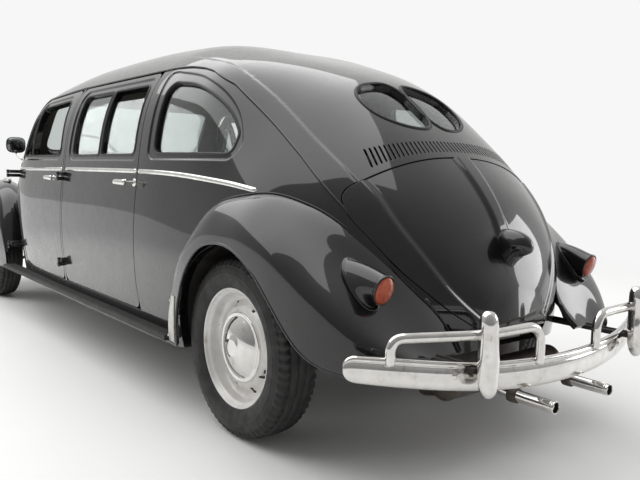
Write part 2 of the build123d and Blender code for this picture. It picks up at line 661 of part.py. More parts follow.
# Engine and drive: a plain block for the engine, the gearbox and the axle tubes
ENGINE_FRONT = from_rear(228)
ENGINE_REAR = from_rear(500)
ENGINE_BOTTOM = 250.0
engine = block(-240, 240, ENGINE_FRONT, ENGINE_REAR, ENGINE_BOTTOM, 640)
write("engine", engine)
GEARBOX_HALF = 110.0
AXLE_TUBE_RADIUS = 34.0
DRUM_RADIUS = RIM_RADIUS - 78
DRUM_X = (REAR_TRACK / 2 - 81, REAR_TRACK / 2 - 59)
HUB_X = REAR_TRACK / 2 + HUB_FACE - SEAT_GAP
drive = block(-GEARBOX_HALF, GEARBOX_HALF, from_rear(-260), ENGINE_FRONT - SEAT_GAP, 236, 392)
for sign in (1, -1):
    drive += rod(*[(sign * x, REAR_AXLE_Y, AXLE_Z) for x in (100, HUB_X)], AXLE_TUBE_RADIUS)
    drive += rod(*[(sign * x, REAR_AXLE_Y, AXLE_Z) for x in DRUM_X], DRUM_RADIUS)
write("rear_axle", drive)

# Exhaust: a cross silencer under the engine's rear, with two tail pipes
SILENCER_Y = from_rear(596)
PIPE_X = 150.0
PIPE_Z = 256.0
PIPE_RADIUS = 19.0
PIPE_BEND_Y = from_rear(760)
SILENCER_Z = 268.0
HEADER_X = 235.0
HEADER_Y = ENGINE_REAR - 40
HEADER_Z = 206.0
HEADER_RADIUS = 18.0
exhaust = rod((-300, SILENCER_Y, SILENCER_Z), (300, SILENCER_Y, SILENCER_Z), 52)
for sign in (1, -1):
    pipe_x = sign * PIPE_X
    bend = (pipe_x, PIPE_BEND_Y, PIPE_Z)
    pipe = [(pipe_x, SILENCER_Y, SILENCER_Z + 12), bend, (pipe_x, LENGTH / 2, PIPE_Z)]
    exhaust += tube_along(pipe, PIPE_RADIUS, 120)
    header_x = sign * HEADER_X
    low = (header_x, HEADER_Y, HEADER_Z)
    top = (header_x, HEADER_Y, ENGINE_BOTTOM - SEAT_GAP)
    exhaust += tube_along([(header_x, SILENCER_Y, SILENCER_Z - 30), low, top], HEADER_RADIUS, 22)
write("exhaust", exhaust)

# Cabin
FLOOR_TOP = 225 + WALL
SEAT_TOP = 470.0


def make_front_seat(x):
    seat = block(x - 250, x + 250, from_rear(-2180), from_rear(-1690), 340, SEAT_TOP)
    back = Pos(x, from_rear(-1690), 690) * Rot(-14, 0, 0) * Box(490, 90, 540)
    seat = seat + back
    base = block(x - 200, x + 200, from_rear(-2120), from_rear(-1740), FLOOR_TOP + SEAT_GAP, 340)
    return seat + base


front_seats = make_front_seat(320) + make_front_seat(-320)
write("front_seats", front_seats)
bench = block(-560, 560, from_rear(-900), from_rear(-420), 330, 480)
bench += Pos(0, from_rear(-370), 690) * Rot(-16, 0, 0) * Box(1120, 110, 520)
bench += block(-500, 500, from_rear(-860), from_rear(-480), FLOOR_TOP + 60, 340)
bench = (bench & BODY_INSIDE) - both(well_volume(REAR_AXLE_Y, REAR_WELL_X, HOUSE_WALL + 4))
bench_feet = both(block(430, 480, from_rear(-850), from_rear(-740), FLOOR_TOP + SEAT_GAP, FLOOR_TOP + 70))
write("rear_bench", bench + bench_feet)
DASH_REAR = from_rear(-2590)
dash = block(-590, 590, from_rear(-2712), DASH_REAR, 770, 985) & BODY_INSIDE
COLUMN_X = 340.0
WHEEL_CENTRE = (COLUMN_X, from_rear(-2300), 945.0)
COLUMN_FOOT = (COLUMN_X, from_rear(-2640), 790.0)
axis = Vector(*WHEEL_CENTRE) - Vector(*COLUMN_FOOT)
unit = axis.normalized()
column_end = Vector(*WHEEL_CENTRE) - unit * (26 + SEAT_GAP)
dash += rod(COLUMN_FOOT, tuple(column_end), 22)
write("dashboard", dash)
wheel_plane = Plane(origin=WHEEL_CENTRE, z_dir=unit)
steering = wheel_plane * Torus(198, 11)
steering += wheel_plane * (Pos(0, 0, -8) * Cylinder(34, 36))
for turn in (0, 180):
    steering += wheel_plane * (Rot(0, 0, turn) * Pos(105, 0, 0) * Box(190, 16, 8))
write("steering_wheel", steering)

# Bumpers: a curved blade whose ends rise, two overriders and their hoops, on brackets
BLADE_HALF = FENDER_HALF_WIDTH + 5
BLADE_TOP = [(780, 453), (600, 432), (405, 408), (200, 396), (0, 392)]
BLADE_BOTTOM = [(780, 387), (600, 356), (405, 330), (200, 314), (0, 310)]
BLADE_THICKNESS = 15.0
OVERRIDER_X = 405.0
OVERRIDER_HALF = 28.0
OVERRIDER_Z = (319.0, 563.0)
OVERRIDER_DEPTH = 62.0
HOOP_HALF = 250.0
HOOP_RADIUS = 13.0
HOOP_TOP = 492.0
BLADE_BACK = 24.0
BRACKET_HALF = 24.0


def across_edge(half):
    """A curve over the whole width from the points of its left half."""
    return Spline(*[(x, -LENGTH, z) for x, z in half + [(-x, z) for x, z in reversed(half[:-1])]])


def blade_elevation():
    """All that lies between the blade's top and bottom edges, seen from behind."""
    top, bottom = across_edge(BLADE_TOP), across_edge(BLADE_BOTTOM)
    face = make_face([top, Line(top @ 1, bottom @ 1), bottom, Line(bottom @ 0, top @ 0)])
    return extrude(face, amount=2 * LENGTH, dir=(0, 1, 0))


def blade_y(x, middle_y, tip_y):
    """The y of the blade's outer face, an arc through its middle and its tips."""
    rise = abs(middle_y - tip_y)
    radius = (BLADE_HALF**2 + rise**2) / (2 * rise)
    drop = radius - math.sqrt(radius**2 - x**2)
    return middle_y - math.copysign(drop, middle_y - tip_y)


def make_bumper(end_y, tip_y, sign, mount_y):
    """A bumper whose overriders reach end_y and whose blade's tips curve back to tip_y."""
    middle_y = end_y - sign * BLADE_BACK
    outer = ThreePointArc((-BLADE_HALF, tip_y, 0), (0, middle_y, 0), (BLADE_HALF, tip_y, 0))
    end_x, inner_y = BLADE_HALF - 10, tip_y - sign * BLADE_THICKNESS
    inner_middle = middle_y - sign * (BLADE_THICKNESS + 1)
    inner = ThreePointArc((end_x, inner_y, 0), (0, inner_middle, 0), (-end_x, inner_y, 0))
    plan = make_face([outer, Line(outer @ 1, inner @ 0), inner, Line(inner @ 1, outer @ 0)])
    blade = Pos(0, 0, 300) * extrude(plan, amount=200, dir=(0, 0, 1)) & blade_elevation()
    for x in (OVERRIDER_X, -OVERRIDER_X):
        back = end_y - sign * OVERRIDER_DEPTH
        y0, y1 = sorted((back, end_y))
        post = block(x - OVERRIDER_HALF, x + OVERRIDER_HALF, y0, y1, *OVERRIDER_Z)
        blade += fillet(post.edges().filter_by(Axis.Z), 20)
        hoop_y = {end: blade_y(end, middle_y, tip_y) - sign * 9 for end in (x - HOOP_HALF, x + HOOP_HALF)}
        left, right = sorted(hoop_y)
        hoop = [(left, hoop_y[left], 400), (left, hoop_y[left], HOOP_TOP), (x, back + sign * 14, HOOP_TOP)]
        hoop += [(right, hoop_y[right], HOOP_TOP), (right, hoop_y[right], 400)]
        blade += tube_along(hoop, HOOP_RADIUS, 50)
        blade += block(x - BRACKET_HALF, x + BRACKET_HALF, min(mount_y, back), max(mount_y, back), 376, 402)
    return blade


rear_bumper = make_bumper(from_rear(OVERRIDER_BEHIND), from_rear(675), 1, from_rear(500))
front_bumper = make_bumper(-LENGTH / 2, from_front(-610), -1, from_front(-560))
rear_bumper = rear_bumper - BODY_OUTER - both(rear_fender)
front_bumper = front_bumper - NOSE_OUTER - both(front_fender)
write("rear_bumper", rear_bumper)
write("front_bumper", front_bumper)

# Lamps
tail_lamp = rod((546, from_rear(470), 640), (546, from_rear(600), 585), 46) - rear_fender - BODY_OUTER
write("tail_lamps", both(tail_lamp))
head_lamp = rod((545, from_front(-470), 640), (545, from_front(-636), 652), 92) - front_fender - NOSE_OUTER
write("headlamps", both(head_lamp))
nose_lamp = rod((0, from_rear(520), 720), (0, from_rear(690), 680), 38) - BODY_OUTER
write("licence_lamp", nose_lamp)
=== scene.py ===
"""The looks of a long wheelbase saloon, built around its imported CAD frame."""
import json
import math

import bpy
import numpy as np
from mathutils import Matrix, Vector
from mathutils.geometry import delaunay_2d_cdt

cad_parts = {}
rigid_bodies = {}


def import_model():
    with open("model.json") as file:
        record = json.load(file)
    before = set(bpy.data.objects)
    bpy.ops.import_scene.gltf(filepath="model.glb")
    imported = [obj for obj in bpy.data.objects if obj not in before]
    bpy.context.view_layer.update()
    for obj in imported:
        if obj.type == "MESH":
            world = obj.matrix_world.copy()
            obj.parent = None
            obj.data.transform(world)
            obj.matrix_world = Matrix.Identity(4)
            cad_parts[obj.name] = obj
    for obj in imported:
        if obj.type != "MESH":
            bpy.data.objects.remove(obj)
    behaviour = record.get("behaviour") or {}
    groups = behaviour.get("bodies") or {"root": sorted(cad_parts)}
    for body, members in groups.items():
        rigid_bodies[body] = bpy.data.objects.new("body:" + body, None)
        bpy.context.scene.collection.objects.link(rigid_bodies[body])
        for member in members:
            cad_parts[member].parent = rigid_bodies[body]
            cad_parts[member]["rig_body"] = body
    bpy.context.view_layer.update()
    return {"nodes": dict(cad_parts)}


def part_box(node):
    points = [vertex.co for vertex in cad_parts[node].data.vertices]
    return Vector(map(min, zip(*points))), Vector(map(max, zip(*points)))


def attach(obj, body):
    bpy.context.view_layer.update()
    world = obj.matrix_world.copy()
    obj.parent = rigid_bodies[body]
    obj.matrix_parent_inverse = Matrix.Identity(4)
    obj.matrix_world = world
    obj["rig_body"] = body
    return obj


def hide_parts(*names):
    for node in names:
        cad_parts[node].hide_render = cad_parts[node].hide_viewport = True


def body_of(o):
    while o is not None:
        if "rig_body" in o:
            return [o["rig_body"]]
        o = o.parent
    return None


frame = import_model()
MM = 0.001


def middle(node):
    low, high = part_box(node)
    return [(a + b) / 2 / MM for a, b in zip(low, high)]


REAR_Y = middle("rear_left_tyre")[1]
FRONT_Y = middle("front_left_tyre")[1]
WHEEL_Z = middle("rear_left_tyre")[2]
NOSE_SHIFT = FRONT_Y - REAR_Y

# Half sections of the cabin and tail, in mm from the rear axle: bottom edge, widest point,
# belt, drip line, shoulder and top centre, each as (x, z)
BODY_STATIONS = {
    -2760: ((600, 300), (650, 600), (640, 880), (606, 938), (420, 972), (0, 985)),
    -2640: ((640, 240), (690, 600), (674, 890), (620, 985), (430, 1030), (0, 1048)),
    -2500: ((680, 225), (722, 610), (706, 905), (606, 1150), (430, 1218), (0, 1238)),
    -2400: ((690, 225), (732, 620), (715, 912), (594, 1272), (430, 1350), (0, 1372)),
    -2250: ((696, 225), (738, 630), (720, 918), (590, 1325), (430, 1412), (0, 1434)),
    -1700: ((702, 225), (742, 640), (724, 920), (592, 1345), (440, 1455), (0, 1489)),
    -1200: ((702, 225), (742, 640), (724, 920), (592, 1348), (440, 1460), (0, 1496)),
    -700: ((702, 225), (742, 640), (722, 918), (590, 1345), (435, 1446), (0, 1484)),
    -350: ((700, 235), (736, 640), (708, 905), (566, 1306), (410, 1374), (0, 1410)),
    0: ((684, 400), (712, 620), (666, 876), (545, 1066), (360, 1222), (0, 1290)),
    244: ((600, 400), (628, 580), (584, 800), (520, 905), (350, 1045), (0, 1116)),
    380: ((520, 380), (545, 540), (520, 735), (478, 815), (310, 940), (0, 1000)),
    500: ((425, 360), (448, 500), (424, 640), (382, 735), (240, 838), (0, 880)),
    600: ((300, 352), (318, 450), (300, 560), (266, 640), (150, 705), (0, 722)),
    655: ((120, 380), (150, 430), (142, 475), (120, 512), (60, 540), (0, 548)),
}
# Half sections of the nose, in mm from the front axle
NOSE_STATIONS = {
    -700: ((110, 360), (150, 420), (150, 470), (130, 510), (70, 535), (0, 542)),
    -650: ((210, 330), (235, 430), (230, 520), (205, 580), (110, 615), (0, 625)),
    -500: ((290, 300), (312, 440), (305, 580), (270, 660), (150, 702), (0, 714)),
    -250: ((350, 445), (372, 560), (366, 650), (330, 745), (190, 795), (0, 810)),
    0: ((410, 445), (430, 590), (424, 720), (388, 810), (230, 862), (0, 878)),
    300: ((500, 290), (520, 540), (512, 770), (474, 880), (290, 924), (0, 938)),
    534: ((585, 290), (628, 580), (622, 850), (590, 918), (400, 958), (0, 970)),
}
# Fender sections, in mm from the rear or front axle: inner x and height, shoulder x and height,
# crest x and height, and the height of the lower edge
REAR_FENDER = {
    -402: (680, 372, 715, 376, 748, 330, 262),
    -340: (690, 585, 728, 585, 757, 470, 262),
    -222: (690, 718, 728, 710, 765, 590, 262),
    -64: (655, 832, 712, 822, 769, 690, 280),
    99: (600, 860, 690, 832, 770, 700, 300),
    253: (530, 824, 650, 788, 764, 668, 320),
    345: (490, 780, 612, 738, 752, 620, 330),
    426: (450, 712, 575, 668, 736, 566, 338),
    494: (400, 640, 548, 602, 714, 520, 343),
    576: (320, 520, 515, 505, 668, 450, 348),
    640: (300, 430, 480, 425, 600, 400, 352),
    690: (320, 385, 440, 384, 520, 376, 356),
}
FRONT_FENDER = {
    560: (620, 390, 690, 400, 748, 340, 268),
    500: (560, 600, 690, 600, 757, 480, 268),
    400: (520, 700, 660, 735, 765, 600, 268),
    230: (470, 735, 620, 806, 769, 680, 290),
    30: (400, 715, 590, 822, 770, 700, 310),
    -170: (350, 665, 570, 815, 766, 700, 330),
    -350: (310, 600, 555, 795, 748, 680, 345),
    -480: (270, 540, 545, 762, 718, 640, 352),
    -580: (230, 490, 540, 712, 672, 590, 362),
    -650: (200, 455, 520, 640, 620, 530, 375),
    -690: (170, 430, 430, 540, 520, 460, 392),
}

# Numeric helpers


def monotone(ys, rows, at):
    """Rows at the places asked for, by a monotone cubic through the given rows."""
    ys, rows = np.asarray(ys, float), np.asarray(rows, float)
    width = np.diff(ys)[:, None]
    slope = np.diff(rows, axis=0) / width
    before, after = slope[:-1], slope[1:]
    same = before * after > 0
    inner = np.where(same, 2 * before * after / np.where(same, before + after, 1), 0)
    tangent = np.vstack([slope[:1], inner, slope[-1:]])
    k = np.clip(np.searchsorted(ys, at, side="right") - 1, 0, len(ys) - 2)
    w = width[k]
    t = ((at - ys[k])[:, None]) / w
    return (
        (2 * t**3 - 3 * t**2 + 1) * rows[k]
        + (t**3 - 2 * t**2 + t) * w * tangent[k]
        + (3 * t**2 - 2 * t**3) * rows[k + 1]
        + (t**3 - t**2) * w * tangent[k + 1]
    )


def softened(rows, reach):
    """Rows smoothed along their first axis, with both ends kept."""
    half = 3 * reach
    kernel = np.exp(-0.5 * (np.arange(-half, half + 1) / reach) ** 2)
    kernel /= kernel.sum()
    head = 2 * rows[0] - rows[half:0:-1]
    tail = 2 * rows[-1] - rows[-2 : -half - 2 : -1]
    long = np.vstack([head, rows, tail])
    return np.stack([np.convolve(long[:, k], kernel, "valid") for k in range(rows.shape[1])], 1)


def spline(points, count=None, ts=None, closed=False):
    """Points along a cubic spline through the given ones, spaced by chord length."""
    p = np.asarray(points, float)
    if closed:
        n = len(p)
        p = np.vstack([p[-3:], p, p[:4]])
    t = np.r_[0, np.cumsum(np.linalg.norm(np.diff(p, axis=0), axis=1) + 1e-9)]
    h = np.diff(t)
    m = len(p)
    a, b = np.zeros((m, m)), np.zeros_like(p)
    for i in range(1, m - 1):
        a[i, i - 1], a[i, i], a[i, i + 1] = h[i], 2 * (h[i - 1] + h[i]), h[i - 1]
        b[i] = 3 * (h[i] * (p[i] - p[i - 1]) / h[i - 1] + h[i - 1] * (p[i + 1] - p[i]) / h[i])
    a[0, 0], a[0, 1], b[0] = 2, 1, 3 * (p[1] - p[0]) / h[0]
    a[-1, -1], a[-1, -2], b[-1] = 2, 1, 3 * (p[-1] - p[-2]) / h[-1]
    d = np.linalg.solve(a, b)
    if ts is None:
        low, high = (t[3], t[3 + n]) if closed else (t[0], t[-1])
        ts = np.linspace(low, high, count, endpoint=not closed)
    else:
        ts = t[0] + ts * (t[-1] - t[0])
    k = np.clip(np.searchsorted(t, ts, side="right") - 1, 0, m - 2)
    w = h[k][:, None]
    s = ((ts - t[k])[:, None]) / w
    return (
        (2 * s**3 - 3 * s**2 + 1) * p[k]
        + (s**3 - 2 * s**2 + s) * w * d[k]
        + (3 * s**2 - 2 * s**3) * p[k + 1]
        + (s**3 - s**2) * w * d[k + 1]
    )


def cubic_weights(f, count):
    i = np.clip(np.floor(f).astype(int), 0, count - 2)
    t = f - i
    w = np.stack(
        [-0.5 * t**3 + t**2 - 0.5 * t, 1.5 * t**3 - 2.5 * t**2 + 1, -1.5 * t**3 + 2 * t**2 + 0.5 * t,
            0.5 * t**3 - 0.5 * t**2],
        -1,
    )
    return np.clip(i[:, None] + np.arange(-1, 4 - 1), 0, count - 1), w


def step(d, low, high):
    """0 below low, 1 above high and smooth between."""
    t = np.clip((d - low) / (high - low), 0, 1)
    return t * t * t * (t * (6 * t - 15) + 10)


class Skin:
    """A smooth surface over stations: u runs along the car and v round the section, both about in mm."""

    def __init__(self, stations, section, girth, shift=0.0, reach=5, spacing=10.0):
        ys = sorted(stations)
        flat = [np.ravel(stations[y]) for y in ys]
        count = int(round((ys[-1] - ys[0]) / spacing)) + 1
        self.places = np.linspace(ys[0], ys[-1], count)
        rows = monotone(ys, flat, self.places)
        if reach:
            rows = softened(rows, reach)
        self.table = np.array([section(r) for r in rows])
        self.girth = girth
        self.shift = shift
        self.rows = None

    def at(self, uv):
        places, table = self.places, self.table
        fy = (uv[:, 0] - self.shift - places[0]) / (places[1] - places[0])
        fs = uv[:, 1] / self.girth * (table.shape[1] - 1)
        iy, wy = cubic_weights(fy, len(places))
        js, ws = cubic_weights(fs, table.shape[1])
        xz = np.einsum("na,nb,nabk->nk", wy, ws, table[iy[:, :, None], js[:, None, :]])
        return np.stack([xz[:, 0], uv[:, 0], xz[:, 1]], 1)

    def row(self, y):
        """The section at a place: its v values and its points."""
        if self.rows is None:
            self.around = np.linspace(0, self.girth, 241)
            self.along = np.arange(self.places[0], self.places[-1] + 4, 4.0) + self.shift
            uv = np.stack(np.meshgrid(self.along, self.around, indexing="ij"), -1).reshape(-1, 2)
            self.rows = self.at(uv).reshape(len(self.along), -1, 3)
        k = (y - self.along[0]) / 4.0
        i = int(min(max(math.floor(k), 0), len(self.along) - 2))
        t = min(max(k - i, 0.0), 1.0)
        return self.around, self.rows[i] * (1 - t) + self.rows[i + 1] * t


SECTION_COUNT = 121


def full_section(row):
    """A whole section from its left bottom edge over the top to the right one."""
    half = np.reshape(row, (-1, 2))
    full = np.vstack([half, (half * (-1, 1))[-2::-1]])
    return spline(full, ts=np.linspace(0, 1, 2 * SECTION_COUNT - 1))


def fender_section(row):
    """A left fender's section from the body over its crest and down its flank."""
    x_in, z_in, x_top, z_top, x_out, z_out, z_low = row
    p = np.array([(x_in, z_in), (x_top, z_top), (x_out, z_out), (x_out - 8, z_low)])
    h = np.linalg.norm(np.diff(p, axis=0), axis=1)
    first, last, end = np.array((1.0, 0.1)), np.array((0.0, -1.0)), np.array((-0.1, -1.0))
    mid = 3 * (h[1] * (p[1] - p[0]) / h[0] + h[0] * (p[2] - p[1]) / h[1]) - h[1] * first - h[0] * last
    tangents = [first, mid / (2 * (h[0] + h[1])), last, end]
    out = []
    for i in range(3):
        s = np.linspace(0, 1, 40, endpoint=False)[:, None]
        w = h[i]
        out.append(
            (2 * s**3 - 3 * s**2 + 1) * p[i]
            + (s**3 - 2 * s**2 + s) * w * tangents[i]
            + (3 * s**2 - 2 * s**3) * p[i + 1]
            + (s**3 - s**2) * w * tangents[i + 1]
        )
    fine = np.vstack(out + [p[3:]])
    run = np.r_[0, np.cumsum(np.linalg.norm(np.diff(fine, axis=0), axis=1))]
    at = np.linspace(0, run[-1], 101)
    return np.stack([np.interp(at, run, fine[:, 0]), np.interp(at, run, fine[:, 1])], 1)


GIRTH = 3600.0
FENDER_GIRTH = 800.0
BODY = Skin(BODY_STATIONS, full_section, GIRTH, reach=4)
NOSE = Skin(NOSE_STATIONS, full_section, 2400.0, NOSE_SHIFT, reach=3)
REAR_WING = Skin(REAR_FENDER, fender_section, FENDER_GIRTH, reach=3)
FRONT_WING = Skin(FRONT_FENDER, fender_section, FENDER_GIRTH, NOSE_SHIFT, reach=3)


def side_uv(skin, points, lower=0.0, upper=0.5):
    """The (u, v) of points seen from the side, given as (y, z), on the rising part of the left half."""
    found = []
    for y, z in points:
        v, p = skin.row(y)
        part = (v >= lower * skin.girth) & (v <= upper * skin.girth)
        zs, vs = p[part, 2], v[part]
        found.append((y, np.interp(z, zs, vs) if zs[-1] > zs[0] else np.interp(-z, -zs, vs)))
    return np.array(found)


def half_width(skin, y, z):
    """How far the skin stands from the middle at a place and height, or -1 above and below it."""
    v, p = skin.row(y)
    half = v <= skin.girth / 2
    zs, xs = p[half, 2], p[half, 0]
    return float(np.interp(z, zs, xs, left=-1, right=-1))


def closest(v, line, q):
    """The v of the point of a polyline that lies closest to q."""
    a, d = line[:-1], np.diff(line, axis=0)
    t = np.clip(((q - a) * d).sum(1) / (d * d).sum(1), 0, 1)
    k = int(np.argmin((((a + d * t[:, None]) - q) ** 2).sum(1)))
    return v[k] + t[k] * (v[k + 1] - v[k])


def end_uv(skin, points, low, high):
    """The (u, v) of points seen from the end, given as (x, z), where the skin closes between two places."""
    found = []
    for x, z in points:
        a, b = low, high
        for _ in range(18):
            mid = (a + b) / 2
            a, b = (mid, b) if half_width(skin, mid, z) > abs(x) else (a, mid)
        u = (a + b) / 2
        v, p = skin.row(u)
        place = closest(v[:121], p[:121][:, (0, 2)], (abs(x), z))
        found.append((u, place if x >= 0 else skin.girth - place))
    return np.array(found)


def top_uv(skin, points):
    """The (u, v) of points seen from above, given as (x, y)."""
    found = []
    for x, y in points:
        v, p = skin.row(y)
        half = v <= skin.girth / 2
        xs, vs = p[half, 0], v[half]
        k = int(np.argmax(xs))
        place = np.interp(-abs(x), -xs[k:], vs[k:])
        found.append((y, place if x >= 0 else skin.girth - place))
    return np.array(found)


def resampled(loop, spacing, closed=True):
    """A polyline's points spread evenly along it."""
    p = np.asarray(loop, float)
    if closed:
        p = np.vstack([p, p[:1]])
    run = np.r_[0, np.cumsum(np.linalg.norm(np.diff(p, axis=0), axis=1))]
    count = max(3, int(round(run[-1] / spacing)))
    at = np.linspace(0, run[-1], count, endpoint=not closed) if closed else np.linspace(0, run[-1], count + 1)
    return np.stack([np.interp(at, run, p[:, k]) for k in range(p.shape[1])], 1)


def rounded(points, radius, spacing=6.0):
    """A closed outline with round corners; radius is one number or one for each corner."""
    p = np.asarray(points, float)
    n = len(p)
    radii = [radius] * n if np.isscalar(radius) else list(radius)
    out = []
    for i in range(n):
        a, b, c = p[i - 1], p[i], p[(i + 1) % n]
        da, dc = a - b, c - b
        la, lc = np.linalg.norm(da), np.linalg.norm(dc)
        da, dc = da / la, dc / lc
        angle = math.acos(np.clip(da @ dc, -1, 1))
        reach = min(radii[i] / max(math.tan(angle / 2), 1e-6), la * 0.49, lc * 0.49)
        if angle > 3.05 or reach < 1:
            out.append(b[None])
            continue
        t = np.linspace(0, 1, 10)[:, None]
        start, end = b + da * reach, b + dc * reach
        weight = math.sin(angle / 2)
        w = (1 - t) ** 2 + 2 * weight * t * (1 - t) + t**2
        out.append(((1 - t) ** 2 * start + 2 * weight * t * (1 - t) * b + t**2 * end) / w)
    return resampled(np.vstack(out), spacing)


def round_backed(points, radii, spacing=6.0, reach=48.0):
    """A rounded outline whose upper rear part is one smooth curve, with its lower and front edges kept."""
    loop = rounded(points, radii, spacing)
    sigma = reach / spacing
    half = int(3 * sigma)
    kernel = np.exp(-0.5 * (np.arange(-half, half + 1) / sigma) ** 2)
    kernel /= kernel.sum()
    long = np.vstack([loop[-half:], loop, loop[:half]])
    smooth = np.stack([np.convolve(long[:, k], kernel, "valid") for k in (0, 1)], 1)
    low = loop.min(0)
    share = step(loop[:, 0], low[0] + 40, low[0] + 150) * step(loop[:, 1], low[1] + 50, low[1] + 150)
    return loop + (smooth - loop) * share[:, None]


def grown(loop, by):
    """A dense closed loop moved outwards by a distance."""
    p = np.asarray(loop, float)
    along = np.roll(p, -1, 0) - np.roll(p, 1, 0)
    along /= np.linalg.norm(along, axis=1)[:, None] + 1e-9
    area = np.sum(p[:, 0] * np.roll(p[:, 1], -1) - np.roll(p[:, 0], -1) * p[:, 1])
    return p + by * math.copysign(1, area) * np.stack([along[:, 1], -along[:, 0]], 1)


def turned(loop, anticlockwise=True):
    area = np.sum(loop[:, 0] * np.roll(loop[:, 1], -1) - np.roll(loop[:, 0], -1) * loop[:, 1])
    return loop if (area > 0) == anticlockwise else loop[::-1]


def thinned(loop, least=1.0):
    """A closed loop without points that lie on top of the one before."""
    loop = np.asarray(loop, float)
    kept = [loop[0]]
    for q in loop[1:]:
        if np.linalg.norm(q - kept[-1]) > least:
            kept.append(q)
    if np.linalg.norm(kept[-1] - kept[0]) <= least:
        kept.pop()
    return np.array(kept)


def inside(points, loop):
    x, y = points[:, 0][:, None], points[:, 1][:, None]
    x0, y0 = loop[:, 0], loop[:, 1]
    x1, y1 = np.roll(x0, -1), np.roll(y0, -1)
    cross = (y0 > y) != (y1 > y)
    with np.errstate(all="ignore"):
        at = x0 + (y - y0) * (x1 - x0) / (y1 - y0)
    return (np.sum(cross & (x < at), axis=1) % 2).astype(bool)


def nearest(points, loop):
    out = np.full(len(points), 1e9)
    for k in range(0, len(points), 4000):
        part = points[k : k + 4000]
        d = (part[:, None, 0] - loop[None, :, 0]) ** 2 + (part[:, None, 1] - loop[None, :, 1]) ** 2
        out[k : k + 4000] = np.sqrt(d.min(1))
    return out


def normals_of(point, uv, reach=1.0):
    du, dv = np.array((reach, 0.0)), np.array((0.0, reach))
    n = np.cross(point(uv + du) - point(uv - du), point(uv + dv) - point(uv - dv))
    return n / (np.linalg.norm(n, axis=1)[:, None] + 1e-12)


def raised(skin, relief):
    """A skin's point function with a relief, a height over its base points, added along its normal."""

    def point(uv):
        p = skin.at(uv)
        if relief is None:
            return p
        return p + normals_of(skin.at, uv) * relief(p, uv)[:, None]

    return point


def shifted(points):
    """Points in mm from the rear axle, in metres in the frame."""
    return (np.asarray(points) + (0, REAR_Y, 0)) * MM


# Mesh helpers
MATERIALS = {}


def add_object(name, verts, faces, mats, body="body", normals=None, face_mats=None, smooth=True):
    """Makes a mesh object of points in metres that rides on a body."""
    mesh = bpy.data.meshes.new(name)
    mesh.from_pydata([tuple(v) for v in verts], [], [tuple(int(i) for i in f) for f in faces])
    for m in [mats] if isinstance(mats, str) else mats:
        mesh.materials.append(MATERIALS[m])
    if face_mats is not None:
        mesh.polygons.foreach_set("material_index", np.asarray(face_mats, np.int32))
    mesh.polygons.foreach_set("use_smooth", np.full(len(mesh.polygons), smooth))
    mesh.update()
    if normals is not None:
        mesh.normals_split_custom_set_from_vertices([tuple(n) for n in normals])
    obj = bpy.data.objects.new(name, mesh)
    bpy.context.scene.collection.objects.link(obj)
    if body:
        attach(obj, body)
    return obj


HEM = ((0.0, 0.0, 0), (0.9, 0.35, 40), (1.5, 1.1, 75), (1.7, 2.4, 90))


